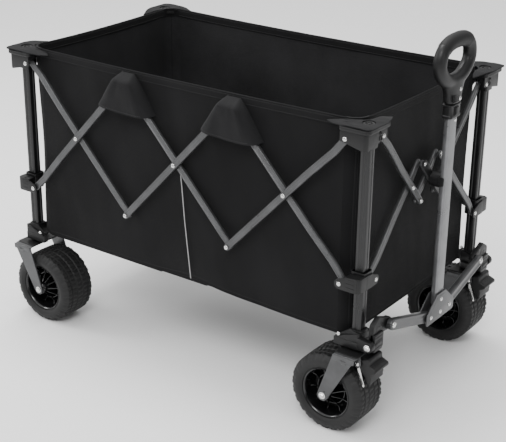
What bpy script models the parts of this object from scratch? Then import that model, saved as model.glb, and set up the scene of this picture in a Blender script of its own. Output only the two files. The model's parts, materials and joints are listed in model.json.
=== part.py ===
"""Folding camp wagon.

Four corner posts on wide wheels are joined by chains of scissor bars: three crosses along each
long side, and two wide crosses with a narrow one between them across each end. The bars hang on
brackets at the post tops and on sliders that run down the posts, so the whole frame folds in
length and in width at once. A fabric basket hangs inside the frame. A telescopic handle stands on
a V of two arms at the front.

+X points forward to the handle, +Y to the wagon's left, +Z up. The origin is on the ground, at the
middle of the whole outline.
"""

import math

import bmesh
import bpy
from mathutils import Matrix, Vector

# ---- Driving dimensions, in metres. x and y are measured from the middle of the wheelbase ----
FRAME_SHIFT = 0.0160         # the front reaches further than the rear by twice this
CORNER_X = 0.468             # axis of each corner post
CORNER_Y = 0.252
TOP_PIVOT_Z = 0.660          # bars hang here on the top brackets
SLIDER_Z = 0.3486            # and here on the sliders
LONG_PIVOT_X = 0.4376        # end pivots of the long sides' bars
SHORT_PIVOT_Y = 0.2250       # end pivots of the short sides' bars
WHEEL_RADIUS = 0.089
WHEEL_WIDTH = 0.100
TRAIL = 0.048                # from the fork's stem back to the axle

# ---- Scissor bars ----
BAR_WIDTH = 0.016
BAR_THICK = 0.009
LONG_INNER_Y, LONG_OUTER_Y = 0.2705, 0.2815      # mid planes of the two layers of bars
SHORT_INNER_X, SHORT_OUTER_X = 0.4675, 0.4785
PIN_RADIUS = 0.003
HOLE_RADIUS = 0.0034
HEAD_RADIUS = 0.0058
HEAD_THICK = 0.0025
PIN_REACH = 0.0170           # from the outer bar's mid plane inward, through the inner bar
PIN_SIDES = 8
PAD_RADIUS = 0.018           # the pad that the folded-up handle leans on
PAD_FRONT_X = 0.5085

# ---- Posts, brackets, sliders and feet, all measured from the post's axis, outward positive ----
POST_SIZE = 0.022
POST_WALL = 0.002
POST_TOP = 0.684
POST_FIT = 0.0004
FOOT_BOTTOM, FOOT_TOP = 0.203, 0.240
LONG_EAR = (0.0355, 0.0385)   # ear plates that carry the long side's pins
SHORT_EAR = (0.0165, 0.0195)
LONG_PIN_END = 0.0130
SHORT_PIN_END = -0.0055
BRACKET_BOTTOM, BRACKET_TOP = 0.642, 0.690
CAP_TOP = 0.698
SHELF_BOTTOM = 0.676
COLLAR_DOWN, COLLAR_UP = 0.012, 0.026
STEM_RADIUS = 0.005
STEM_FIT = 0.0004

# ---- Wheels and forks ----
TYRE_INNER = 0.0588
RIM_OUTER = 0.0577
RIM_INNER = 0.0525
HUB_RADIUS = 0.014
HUB_HALF = 0.053
AXLE_RADIUS = 0.0045
AXLE_FIT = 0.0005
FORK_INNER_Y = 0.0545
FORK_SHEET = 0.003
FORK_HALF = 0.026             # half the fork's length at its top plate
FORK_PLATE = (0.1935, 0.1972)
FORK_END_RADIUS = 0.012

# ---- Brake ----
BRAKE_PIVOT = (0.019, 0.176)  # ahead of the stem, and above the ground
BRAKE_HALF_WIDTH = 0.028
BRAKE_PIN_RADIUS = 0.003
BRAKE_TAB = (0.0295, 0.0320)  # the fork's tabs beside the pedal, from its middle

# ---- Handle and its V of arms ----
TILT_X, TILT_Z = 0.5055, 0.217
ELBOW_PIVOT_Y, ELBOW_PIVOT_Z = 0.2012, 0.2446
HUB_PIVOT_Y, HUB_PIVOT_Z = 0.0430, 0.1970
ARM_X = (0.5095, 0.5235)
ARM_WIDTH = 0.025
TUBE_WIDTH, TUBE_DEPTH, TUBE_WALL = 0.036, 0.014, 0.0015
TUBE_BOTTOM, TUBE_TOP = 0.218, 0.652
TILT_PIN_RADIUS, ARM_PIN_RADIUS, HUB_PIN_RADIUS = 0.0040, 0.0040, 0.0032
HANDLE_FIT = 0.0004          # clearance round the handle's pins and its telescoping tube
HUB_SHEET, HUB_GAP = 0.003, 0.0015
BUTTON_HALF, BUTTON_Z = 0.006, (0.655, 0.671)
COLLAR_Z = (0.648, 0.678)
INNER_TUBE_Z = (0.300, 0.705)
GRIP_BOTTOM = 0.6785

# ---- Basket ----
BASKET_HALF_X, BASKET_HALF_Y = 0.453, 0.258
BASKET_CORNER = 0.035
BASKET_BOTTOM, BASKET_TOP = 0.218, 0.682
BASKET_WALL, BASKET_FLOOR = 0.005, 0.006
CORD_RADIUS = 0.0012

# ---- Worked out from the above ----
HALF_SPAN = LONG_PIVOT_X / 3
HALF_RISE = (TOP_PIVOT_Z - SLIDER_Z) / 2
FOLD_ANGLE = math.atan2(HALF_RISE, HALF_SPAN)
LONG_HALF = math.hypot(HALF_SPAN, HALF_RISE)
SHORT_SPAN = (SHORT_PIVOT_Y - HALF_SPAN) / 2
SHORT_HALF = SHORT_SPAN / math.cos(FOLD_ANGLE)
SHORT_RISE = SHORT_HALF * math.sin(FOLD_ANGLE)
MID_Z = (TOP_PIVOT_Z + SLIDER_Z) / 2
TUBE_X = sum(ARM_X) / 2

# ---- Turns that stand a flat outline up ----
SIDEWAYS = Matrix.Rotation(math.pi / 2, 4, "X")      # outline in x and z, thickness along y
CROSSWISE = Matrix(((0, 0, 1, 0), (1, 0, 0, 0), (0, 1, 0, 0), (0, 0, 0, 1)))   # in y and z, along x

CORNERS = {
    "front_right": (1, -1), "front_left": (1, 1), "rear_right": (-1, -1), "rear_left": (-1, 1),
}


# ---- Scene helpers ----
def clear_scene():
    for obj in list(bpy.data.objects):
        bpy.data.objects.remove(obj, do_unlink=True)


def material(name, colour, roughness, metallic=0.0):
    made = bpy.data.materials.new(name)
    made.use_nodes = True
    shader = made.node_tree.nodes["Principled BSDF"]
    shader.inputs["Base Color"].default_value = (*colour, 1.0)
    shader.inputs["Roughness"].default_value = roughness
    shader.inputs["Metallic"].default_value = metallic
    return made


def mesh_from_curve(curve_object):
    """Replace a curve object by its evaluated mesh with the caps welded on."""
    bpy.context.view_layer.update()
    evaluated = curve_object.evaluated_get(bpy.context.evaluated_depsgraph_get())
    mesh = bpy.data.meshes.new_from_object(evaluated)
    work = bmesh.new()
    work.from_mesh(mesh)
    bmesh.ops.remove_doubles(work, verts=work.verts, dist=0.00002)
    bmesh.ops.recalc_face_normals(work, faces=work.faces)
    work.to_mesh(mesh)
    work.free()
    made = bpy.data.objects.new(curve_object.name, mesh)
    made.matrix_world = curve_object.matrix_world
    bpy.context.scene.collection.objects.link(made)
    bpy.data.objects.remove(curve_object, do_unlink=True)
    return made


def new_object(name, mesh):
    made = bpy.data.objects.new(name, mesh)
    bpy.context.scene.collection.objects.link(made)
    return made


def plate(name, loops, low, high, turn=Matrix.Identity(4)):
    """A flat plate: closed outlines in local X and Y, holes among them, between two heights."""
    curve = bpy.data.curves.new(name, "CURVE")
    curve.dimensions = "2D"
    curve.fill_mode = "BOTH"
    curve.extrude = (high - low) / 2
    for loop in loops:
        spline = curve.splines.new("POLY")
        spline.points.add(len(loop) - 1)
        for point, (x, y) in zip(spline.points, loop):
            point.co = (x, y, 0, 1)
        spline.use_cyclic_u = True
    made = mesh_from_curve(new_object(name, curve))
    made.data.transform(turn @ Matrix.Translation((0, 0, (low + high) / 2)))
    return made


def side_plate(name, loops, low, high):
    """A plate whose outline is given in x and z, between two values of y."""
    return plate(name, loops, -high, -low, turn=SIDEWAYS)


def front_plate(name, loops, low, high):
    """A plate whose outline is given in y and z, between two values of x."""
    return plate(name, loops, low, high, turn=CROSSWISE)


def box(name, x, y, z):
    """A box between two corners, given as (low, high) on each axis."""
    bpy.ops.mesh.primitive_cube_add(size=1)
    made = bpy.context.object
    made.name = name
    size = Matrix.Diagonal((x[1] - x[0], y[1] - y[0], z[1] - z[0], 1))
    middle = Matrix.Translation(((x[0] + x[1]) / 2, (y[0] + y[1]) / 2, (z[0] + z[1]) / 2))
    made.data.transform(middle @ size)
    return made


def rod(name, radius, start, end, sides=12):
    """A cylinder from one point to another, with a flat side up."""
    start, end = Vector(start), Vector(end)
    along = end - start
    bpy.ops.mesh.primitive_cylinder_add(vertices=sides, radius=radius, depth=along.length)
    made = bpy.context.object
    made.name = name
    turn = along.to_track_quat("Z", "Y").to_matrix().to_4x4()
    made.data.transform(Matrix.Translation((start + end) / 2) @ turn)
    return made


def combine(target, others, operation="UNION"):
    """Join the others into the target, or cut them from it, and remove them."""
    for other in others:
        step = target.modifiers.new(operation.title(), "BOOLEAN")
        step.operation = operation
        step.object = other
        bpy.context.view_layer.update()
        evaluated = target.evaluated_get(bpy.context.evaluated_depsgraph_get())
        mesh = bpy.data.meshes.new_from_object(evaluated)
        target.modifiers.clear()
        target.data = mesh
        bpy.data.objects.remove(other, do_unlink=True)
    return target


def mirrored(obj, side_x, side_y):
    """Mirror the object's mesh into another quadrant, faces still pointing out."""
    obj.data.transform(Matrix.Diagonal((side_x, side_y, 1, 1)))
    if side_x * side_y < 0:
        obj.data.flip_normals()
    return obj


def smooth(obj, degrees=40):
    obj.data.shade_smooth()
    obj.data.set_sharp_from_angle(angle=math.radians(degrees))


def arc(middle, radius, start, end, steps):
    """Points along an arc, angles in degrees."""
    turns = [math.radians(start + (end - start) * n / steps) for n in range(steps + 1)]
    return [(middle[0] + radius * math.cos(t), middle[1] + radius * math.sin(t)) for t in turns]


def circle(middle, radius, sides):
    return arc(middle, radius, 0, 360 - 360 / sides, sides - 1)


def rectangle(half_x, half_y, middle=(0, 0)):
    return [(middle[0] + sx * half_x, middle[1] + sy * half_y)
            for sx, sy in ((-1, -1), (1, -1), (1, 1), (-1, 1))]


def rounded_rectangle(half_x, half_y, radius, steps):
    """An outline with round corners, anticlockwise."""
    points = []
    for n, (sx, sy) in enumerate(((1, -1), (1, 1), (-1, 1), (-1, -1))):
        middle = (sx * (half_x - radius), sy * (half_y - radius))
        points += arc(middle, radius, 90 * n - 90, 90 * n, steps)
    return points


def revolved(name, profile, steps):
    """A closed profile of (radius, y) turned about the Y axis."""
    mesh = bpy.data.meshes.new(name)
    corners = [(radius, y, 0) for radius, y in profile]
    count = len(corners)
    mesh.from_pydata(corners, [(n, (n + 1) % count) for n in range(count)], [])
    made = new_object(name, mesh)
    turn = made.modifiers.new("Turn", "SCREW")
    turn.axis = "Y"
    turn.steps = turn.render_steps = steps
    turn.use_merge_vertices = True
    turn.merge_threshold = 0.00005
    turn.use_normal_calculate = True
    bpy.context.view_layer.update()
    evaluated = made.evaluated_get(bpy.context.evaluated_depsgraph_get())
    solid = bpy.data.meshes.new_from_object(evaluated)
    work = bmesh.new()
    work.from_mesh(solid)
    bmesh.ops.remove_doubles(work, verts=work.verts, dist=0.00002)
    bmesh.ops.recalc_face_normals(work, faces=work.faces)
    work.to_mesh(solid)
    work.free()
    made.modifiers.clear()
    made.data = solid
    return made


class Wagon:
    """Collects the finished parts under one empty and in one collection."""

    def __init__(self):
        self.parts = bpy.data.collections.new("folding_camp_wagon")
        bpy.context.scene.collection.children.link(self.parts)
        self.middle = bpy.data.objects.new("wagon_middle", None)
        self.middle.location = (-FRAME_SHIFT, 0, 0)
        self.parts.objects.link(self.middle)
        self.steel = material("painted_steel", (0.20, 0.205, 0.21), 0.38, 0.6)
        self.plastic = material("black_plastic", (0.018, 0.018, 0.019), 0.45)
        self.rubber = material("tyre", (0.035, 0.035, 0.037), 0.75)
        self.rim = material("rim_plastic", (0.012, 0.012, 0.013), 0.25)
        self.fabric = material("basket_fabric", (0.015, 0.015, 0.017), 0.9)
        self.cord = material("support_cord", (0.45, 0.45, 0.45), 0.7)

    def add(self, obj, name, finish, place=Matrix.Identity(4)):
        """Name a part, give it its finish, and put its own origin where its joint is."""
        obj.name = obj.data.name = name
        obj.data.materials.clear()
        obj.data.materials.append(finish)
        for old in list(obj.users_collection):
            old.objects.unlink(obj)
        self.parts.objects.link(obj)
        obj.parent = self.middle
        obj.matrix_basis = place
        return obj


# ---- Scissor bars ----
def bar_outline(length):
    """A bar with round ends, from the pivot at 0 to the pivot at its length."""
    half = BAR_WIDTH / 2
    return arc((length, 0), half, -90, 90, 6) + arc((0, 0), half, 90, 270, 6)


def bar(length, holes, pins, outward):
    """A flat bar along local X. Pins go through the layer behind it, away from local Z's outward side."""
    loops = [bar_outline(length)] + [circle((x, 0), HOLE_RADIUS, PIN_SIDES) for x in holes]
    made = plate("bar", loops, -BAR_THICK / 2, BAR_THICK / 2)
    face = outward * (BAR_THICK / 2 + HEAD_THICK)
    inside = outward * (BAR_THICK / 2 - 0.002)
    back = -outward * PIN_REACH
    core = -outward * (BAR_THICK / 2 - 0.002)
    for x in pins:
        combine(made, [rod("head", HEAD_RADIUS, (x, 0, inside), (x, 0, face), 10),
                       rod("pin", PIN_RADIUS, (x, 0, core), (x, 0, back), PIN_SIDES)])
    return made


def side_turn(side, angle):
    """Turn a bar's local X, Y and outward Z into a side's plane, at an angle above level."""
    if side in ("right", "left"):
        return Matrix.Rotation(-angle, 4, "Y") @ Matrix.Rotation(math.pi / 2, 4, "X")
    level = Matrix.Rotation(math.pi / 2, 4, "Z") @ Matrix.Rotation(math.pi / 2, 4, "X")
    return Matrix.Rotation(angle, 4, "X") @ level


def side_layer(side, outer):
    """(signed offset of a layer, +1 where local Z points outward)."""
    if side in ("right", "left"):
        offset = LONG_OUTER_Y if outer else LONG_INNER_Y
        return (-offset, 1) if side == "right" else (offset, -1)
    offset = SHORT_OUTER_X if outer else SHORT_INNER_X
    return (offset, 1) if side == "front" else (-offset, -1)


def side_point(side, along, layer, z):
    return (along, layer, z) if side in ("right", "left") else (layer, along, z)


def long_bars():
    """(name, hinge point along and up, far point, outer layer, holes, pins) of a long side's bars.

    The hinge point is where the bar hangs on the piece that carries it.
    """
    s, up, down = HALF_SPAN, TOP_PIVOT_Z, SLIDER_Z
    full = 2 * LONG_HALF
    return [
        ("1_down", (-3 * s, up), (-s, down), False, (0, LONG_HALF, full), ()),
        ("1_up", (-3 * s, down), (-s, up), True, (0,), (LONG_HALF, full)),
        ("2_down", (-s, up), (s, down), False, (0, LONG_HALF, full), ()),
        ("2_up", (-s, down), (s, up), True, (), (0, LONG_HALF, full)),
        ("3_down", (s, up), (3 * s, down), False, (0, LONG_HALF, full), ()),
        ("3_up", (s, down), (3 * s, up), True, (full,), (0, LONG_HALF)),
    ]


def short_bars():
    """The same for a short side: wide crosses at both posts and a narrow one in the middle."""
    y, up, down = SHORT_PIVOT_Y, TOP_PIVOT_Z, SLIDER_Z
    s, high, low = SHORT_SPAN, MID_Z + SHORT_RISE, MID_Z - SHORT_RISE
    a, b = LONG_HALF, SHORT_HALF
    return [
        ("1_down", (-y, up), (-s, low), True, (0,), (a, a + b)),
        ("1_up", (-y, down), (-s, high), False, (0, a, a + b), ()),
        ("2_up", (-s, low), (s, high), False, (0, b, 2 * b), ()),
        ("2_down", (-s, high), (s, low), True, (), (0, b, 2 * b)),
        ("3_up", (s, low), (y, up), False, (0, b, a + b), ()),
        ("3_down", (s, high), (y, down), True, (a + b,), (0, b)),
    ]


def build_bars(wagon):
    for side in ("right", "left", "front", "rear"):
        for name, start, end, outer, holes, pins in (
            long_bars() if side in ("right", "left") else short_bars()
        ):
            length = math.dist(start, end)
            layer, outward = side_layer(side, outer)
            made = bar(length, holes, pins, outward)
            if (side, name) == ("front", "2_down"):
                pad_back = outward * (BAR_THICK / 2 + HEAD_THICK - 0.001)
                pad_face = PAD_FRONT_X - SHORT_OUTER_X
                pad = rod("pad", PAD_RADIUS, (length / 2, 0, pad_back), (length / 2, 0, pad_face), 20)
                combine(made, [pad])
            angle = math.atan2(end[1] - start[1], end[0] - start[0])
            hinge = side_point(side, start[0], layer, start[1])
            place = Matrix.Translation(hinge) @ side_turn(side, angle)
            wagon.add(made, f"scissor_{side}_{name}", wagon.steel, place)


# ---- Corner parts, built for the corner where x and y both point outward ----
def pins_on_ears(z):
    """The two bar pins of a bracket or slider, with rivet heads outside the ears."""
    x, y = LONG_PIVOT_X - CORNER_X, SHORT_PIVOT_Y - CORNER_Y
    made = []
    for point, ear, end in (
        (lambda d: (x, d, z), LONG_EAR, LONG_PIN_END),
        (lambda d: (d, y, z), SHORT_EAR, SHORT_PIN_END),
    ):
        middle = sum(ear) / 2
        made += [rod("pin", PIN_RADIUS, point(middle), point(end), PIN_SIDES),
                 rod("head", HEAD_RADIUS, point(middle), point(ear[1] + HEAD_THICK), 10)]
    return made


def post_hole(low, high):
    half = POST_SIZE / 2 + POST_FIT
    return box("hole", (-half, half), (-half, half), (low, high))


def top_bracket():
    made = box("bracket", (-0.015, SHORT_EAR[1]), (-0.015, LONG_EAR[1]), (BRACKET_BOTTOM, BRACKET_TOP))
    ears = [
        box("ear", (-0.042, 0.005), (LONG_EAR[0], LONG_EAR[1] + 0.0002), (BRACKET_BOTTOM + 0.002, 0.684)),
        box("ear", (SHORT_EAR[0], SHORT_EAR[1] + 0.0002), (-0.039, 0.005), (BRACKET_BOTTOM + 0.002, 0.684)),
        box("shelf", (-0.044, 0.0), (0.012, LONG_EAR[1] + 0.0006), (SHELF_BOTTOM, BRACKET_TOP - 0.0005)),
        box("shelf", (-0.010, SHORT_EAR[1] + 0.0006), (-0.041, 0.0), (SHELF_BOTTOM, BRACKET_TOP - 0.0005)),
    ]
    cap_outline = (
        arc((-0.042, 0.036), 0.006, 90, 200, 4) + arc((-0.034, -0.030), 0.014, 200, 270, 3)
        + arc((0.016, -0.036), 0.008, 270, 360, 4) + arc((0.014, 0.030), 0.010, 0, 90, 4)
    )
    cap = plate("cap", [cap_outline], BRACKET_TOP - 0.002, CAP_TOP)
    combine(made, ears + [cap] + pins_on_ears(TOP_PIVOT_Z))
    return combine(made, [post_hole(BRACKET_BOTTOM - 0.01, POST_TOP + 0.0015)], "DIFFERENCE")


def slider():
    z = SLIDER_Z
    bottom, top = z - COLLAR_DOWN, z + COLLAR_UP
    made = box("slider", (-0.0155, 0.0155), (-0.0155, 0.0155), (bottom, top))
    others = [
        box("web", (-0.019, 0.010), (0.010, LONG_EAR[1]), (bottom + 0.0004, top - 0.004)),
        box("web", (0.010, SHORT_EAR[1]), (-0.0165, 0.010), (bottom + 0.0004, top - 0.004)),
        box("ear", (-0.0425, -0.010), (LONG_EAR[0], LONG_EAR[1] + 0.0003), (bottom + 0.0008, z + 0.013)),
        box("ear", (SHORT_EAR[0], SHORT_EAR[1] + 0.0003), (-0.039, -0.008), (bottom + 0.0008, z + 0.013)),
    ]
    combine(made, others + pins_on_ears(z))
    return combine(made, [post_hole(bottom - 0.01, top + 0.01)], "DIFFERENCE")


def post_and_foot(front):
    """The square post tube, open at the top, set in its plastic foot."""
    outline = [(-0.045, 0.011), (-0.015, 0.011), (-0.015, -0.015), (-0.004, -0.035),
               (SHORT_EAR[0], -0.035), (SHORT_EAR[0], 0.027), (-0.045, 0.027)]
    made = plate("foot", [outline], FOOT_BOTTOM, FOOT_TOP)
    half = POST_SIZE / 2
    tube = plate("tube", [rectangle(half, half), rectangle(half - POST_WALL, half - POST_WALL)],
                 FOOT_TOP - 0.008, POST_TOP)
    others = [tube]
    if front:
        hinge_x = TILT_X - CORNER_X
        ear_z = (FOOT_BOTTOM + 0.0005, TILT_Z + 0.014)
        others.append(box("ear", (0.012, hinge_x + 0.0115), (0.012, 0.0268), ear_z))
    combine(made, others)
    bores = [rod("stem_bore", STEM_RADIUS + STEM_FIT, (0, 0, FOOT_BOTTOM - 0.01), (0, 0, 0.226), 16)]
    if front:
        bore = TILT_PIN_RADIUS + HANDLE_FIT
        bores.append(rod("tilt_bore", bore, (hinge_x, 0.0, TILT_Z), (hinge_x, 0.04, TILT_Z), 12))
    return combine(made, bores, "DIFFERENCE")


def fork(with_brake):
    """A sheet steel fork over the wheel, with its stem and axle."""
    top = FORK_PLATE[1] - 0.0012
    reach_x, reach_y = FORK_HALF + 0.0005, FORK_INNER_Y + FORK_SHEET
    outline = [(FORK_HALF, top), (-FORK_HALF, top)]
    outline += arc((-TRAIL, WHEEL_RADIUS), FORK_END_RADIUS, 168, 325, 8)
    made = box("fork", (-reach_x, reach_x), (-reach_y, reach_y), FORK_PLATE)
    others = []
    for side in (-1, 1):
        inner, outer = side * FORK_INNER_Y, side * (FORK_INNER_Y + FORK_SHEET - 0.0002)
        others.append(side_plate("arm", [outline], *sorted((inner, outer))))
        head = axle_point(outer - side * 0.001), axle_point(outer + side * 0.005)
        others.append(rod("axle_head", 0.008, *head, 12))
    axle = axle_point(-FORK_INNER_Y - 0.002), axle_point(FORK_INNER_Y + 0.002)
    others.append(rod("axle", AXLE_RADIUS, *axle, 12))
    others.append(rod("boss", 0.016, (0, 0, FORK_PLATE[1] - 0.001), (0, 0, FOOT_BOTTOM - 0.0004), 20))
    others.append(rod("stem", STEM_RADIUS, (0, 0, FORK_PLATE[1] + 0.001), (0, 0, 0.222), 16))
    if with_brake:
        x, z = BRAKE_PIVOT
        tab = [(0.002, top), (0.0255, top), (0.0285, z), (x, z - 0.0095), (0.0095, z - 0.002)]
        for side in (-1, 1):
            others.append(side_plate("tab", [tab], *sorted(side * edge for edge in BRAKE_TAB)))
        reach = BRAKE_TAB[1] + 0.0022
        others.append(rod("brake_pin", BRAKE_PIN_RADIUS, (x, -reach, z), (x, reach, z), 8))
    return combine(made, others)


def axle_point(y):
    return (-TRAIL, y, WHEEL_RADIUS)


def brake_pedal():
    outline = [(0.010, 0.184), (0.030, 0.189), (0.040, 0.1950), (0.068, 0.178), (0.073, 0.168),
               (0.058, 0.152), (0.052, 0.130), (0.042, 0.130), (0.034, 0.150), (0.014, 0.167)]
    shifted = [(x - BRAKE_PIVOT[0], z - BRAKE_PIVOT[1]) for x, z in outline]
    bore = circle((0, 0), BRAKE_PIN_RADIUS + 0.0004, 8)
    return side_plate("brake", [shifted, bore], -BRAKE_HALF_WIDTH, BRAKE_HALF_WIDTH)


def tyre():
    half, crown, shoulder = WHEEL_WIDTH / 2, WHEEL_RADIUS, 0.009
    profile = [
        (TYRE_INNER, -half + 0.004), (TYRE_INNER + 0.006, -half), (crown - shoulder - 0.002, -half),
        (crown - 0.0025, -half + shoulder * 0.5), (crown, -half + shoulder * 1.6),
        (crown, half - shoulder * 1.6), (crown - 0.0025, half - shoulder * 0.5),
        (crown - shoulder - 0.002, half), (TYRE_INNER + 0.006, half), (TYRE_INNER, half - 0.004),
    ]
    return revolved("tyre", profile, 28)


def rim():
    bore, web, lip = AXLE_RADIUS + AXLE_FIT, 0.006, WHEEL_WIDTH / 2 - 0.004
    side = [(bore, HUB_HALF), (HUB_RADIUS, HUB_HALF), (HUB_RADIUS, web), (RIM_INNER, web),
            (RIM_INNER, lip), (RIM_OUTER, lip)]
    return revolved("rim", side + [(radius, -y) for radius, y in reversed(side)], 20)


def elbow():
    """A moulded plate that carries an arm's outer end, hinged to the foot's ear."""
    pivot = (ELBOW_PIVOT_Y - CORNER_Y, ELBOW_PIVOT_Z)
    outline = [(0.0095, 0.209), (0.0095, 0.256), (-0.014, 0.272)]
    outline += arc(pivot, 0.0135, 80, 280, 8) + [(-0.026, 0.231), (-0.026, 0.209)]
    hinge = TILT_X - CORNER_X
    back, face = ARM_X[0] - 0.0045 - CORNER_X, ARM_X[0] - 0.0005 - CORNER_X
    head = ARM_X[1] + 0.0005 - CORNER_X
    return combine(front_plate("elbow", [outline], back, face), [
        rod("knuckle", 0.009, (hinge, -0.020, TILT_Z), (hinge, 0.0100, TILT_Z), 14),
        rod("tilt_pin", TILT_PIN_RADIUS, (hinge, 0.005, TILT_Z), (hinge, 0.0285, TILT_Z), 12),
        rod("tilt_head", 0.0075, (hinge, 0.0273, TILT_Z), (hinge, 0.0305, TILT_Z), 12),
        rod("arm_pin", ARM_PIN_RADIUS, (back + 0.001, *pivot), (head + 0.001, *pivot), 12),
        rod("arm_head", 0.0075, (head, *pivot), (head + 0.003, *pivot), 12),
    ])


def build_corners(wagon):
    for corner, (sx, sy) in CORNERS.items():
        front = sx > 0
        at = Matrix.Translation((sx * CORNER_X, sy * CORNER_Y, 0))
        wagon.add(mirrored(post_and_foot(front), sx, sy), f"post_{corner}", wagon.steel, at)
        wagon.add(mirrored(top_bracket(), sx, sy), f"top_bracket_{corner}", wagon.plastic, at)
        wagon.add(mirrored(slider(), sx, sy), f"slider_{corner}", wagon.plastic, at)
        wagon.add(mirrored(fork(front), sx, sy), f"fork_{corner}", wagon.steel, at)
        hub = at @ Matrix.Translation((-sx * TRAIL, 0, WHEEL_RADIUS))
        for made, name, finish in ((tyre(), "tyre", wagon.rubber), (rim(), "rim", wagon.rim)):
            smooth(made)
            wagon.add(made, f"{name}_{corner}", finish, hub)
        if front:
            pivot = at @ Matrix.Translation((BRAKE_PIVOT[0], 0, BRAKE_PIVOT[1]))
            wagon.add(brake_pedal(), f"brake_pedal_{corner}", wagon.plastic, pivot)
            hinge = Vector((TILT_X - CORNER_X, 0, TILT_Z))
            made = elbow()
            made.data.transform(Matrix.Translation(-hinge))
            place = at @ Matrix.Translation(hinge)
            wagon.add(mirrored(made, sx, sy), f"handle_elbow_{corner}", wagon.plastic, place)


# ---- Handle ----
def build_arms(wagon):
    drop = ELBOW_PIVOT_Z - HUB_PIVOT_Z
    length = math.hypot(ELBOW_PIVOT_Y - HUB_PIVOT_Y, drop)
    half, half_thick = ARM_WIDTH / 2, (ARM_X[1] - ARM_X[0]) / 2
    for side, name in ((-1, "right"), (1, "left")):
        outline = arc((length, 0), half, -90, 90, 7) + arc((0, 0), half, 90, 270, 7)
        loops = [outline, circle((0, 0), ARM_PIN_RADIUS + HANDLE_FIT, 12)]
        if name == "right":
            loops.append(circle((length, 0), HUB_PIN_RADIUS + HANDLE_FIT, 10))
        made = front_plate("arm", loops, -half_thick, half_thick)
        angle = math.atan2(-drop, -side * (ELBOW_PIVOT_Y - HUB_PIVOT_Y))
        place = Matrix.Translation((TUBE_X, side * ELBOW_PIVOT_Y, ELBOW_PIVOT_Z))
        wagon.add(made, f"handle_arm_{name}", wagon.steel, place @ Matrix.Rotation(angle, 4, "X"))


def hollow(half_x, half_y, wall):
    """The outlines of a rectangular tube about the handle's axis."""
    centre = (TUBE_X, 0)
    return [rectangle(half_x, half_y, centre), rectangle(half_x - wall, half_y - wall, centre)]


def handle_base():
    """The outer tube with its collar, on the hub's two plates."""
    half_x, half_y = TUBE_DEPTH / 2, TUBE_WIDTH / 2
    made = plate("tube", hollow(half_x, half_y, TUBE_WALL), TUBE_BOTTOM, TUBE_TOP)
    hub = [(-0.022, 0.244), (-0.062, 0.206), (-0.062, 0.181), (0.062, 0.181), (0.062, 0.206), (0.022, 0.244)]
    back, front = ARM_X[0] - HUB_GAP, ARM_X[1] + HUB_GAP
    bore_x, bore_y = half_x - TUBE_WALL + HANDLE_FIT, half_y - TUBE_WALL + HANDLE_FIT
    collar = [rectangle(0.012, 0.024, (TUBE_X, 0)), rectangle(bore_x, bore_y, (TUBE_X, 0))]
    others = [
        front_plate("hub_front", [hub], front, front + HUB_SHEET),
        front_plate("hub_back", [hub], back - HUB_SHEET, back),
        box("hub_core", (back - 0.001, front + 0.001), (-0.006, 0.006), (0.1825, 0.240)),
        plate("collar", collar, *COLLAR_Z),
    ]
    for side in (-1, 1):
        pivot = (side * HUB_PIVOT_Y, HUB_PIVOT_Z)
        others.append(rod("hub_head", 0.0075, (front + 0.002, *pivot), (front + 0.0055, *pivot), 12))
    pivot = (-HUB_PIVOT_Y, HUB_PIVOT_Z)
    others.append(rod("hub_pin", HUB_PIN_RADIUS, (back - 0.001, *pivot), (front + 0.001, *pivot), 10))
    combine(made, others)
    pocket_y, pocket_z = BUTTON_HALF + HANDLE_FIT, (BUTTON_Z[0] - HANDLE_FIT, BUTTON_Z[1] + HANDLE_FIT)
    pocket = box("button_pocket", (TUBE_X + 0.0080, TUBE_X + 0.02), (-pocket_y, pocket_y), pocket_z)
    return combine(made, [pocket], "DIFFERENCE")


def build_handle(wagon):
    made = handle_base()
    pivot = Vector((TILT_X, 0, TILT_Z))
    made.data.transform(Matrix.Translation(-pivot))
    wagon.add(made, "handle_base", wagon.steel, Matrix.Translation(pivot))

    button = box("button", (TUBE_X + 0.0106, TUBE_X + 0.0145), (-BUTTON_HALF, BUTTON_HALF), BUTTON_Z)
    wagon.add(button, "lock_button", wagon.plastic)

    gap, wall = 0.0005, 0.0013
    inner_x, inner_y = TUBE_DEPTH / 2 - TUBE_WALL - gap, TUBE_WIDTH / 2 - TUBE_WALL - gap
    inner = plate("inner", hollow(inner_x, inner_y, wall), *INNER_TUBE_Z)
    wagon.add(inner, "handle_inner_tube", wagon.steel)
    wagon.add(grip(inner_x, inner_y), "handle_grip", wagon.plastic)


def grip(inner_x, inner_y):
    """A D-shaped loop on a neck, with a socket for the inner tube."""
    right = [(0.0240, GRIP_BOTTOM), (0.0255, 0.700), (0.0360, 0.722), (0.0600, 0.745), (0.0740, 0.765)]
    right += arc((0.048, 0.795), 0.031, -20, 70, 5) + [(0.030, 0.8315), (0.0, 0.8330)]
    outer = right + [(-y, z) for y, z in reversed(right[:-1])]
    hole = [(0.0, 0.745), (0.020, 0.753), (0.036, 0.768)]
    hole += arc((0.034, 0.786), 0.014, -20, 70, 4) + [(0.0, 0.8015)]
    inner = hole + [(-y, z) for y, z in reversed(hole[1:-1])]
    made = front_plate("grip", [outer, inner], TUBE_X - 0.0145, TUBE_X + 0.0145)
    half_x, half_y = inner_x + HANDLE_FIT, inner_y + HANDLE_FIT
    socket = box("socket", (TUBE_X - half_x, TUBE_X + half_x), (-half_y, half_y),
                 (GRIP_BOTTOM - 0.01, INNER_TUBE_Z[1] + 0.0005))
    return combine(made, [socket], "DIFFERENCE")


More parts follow.
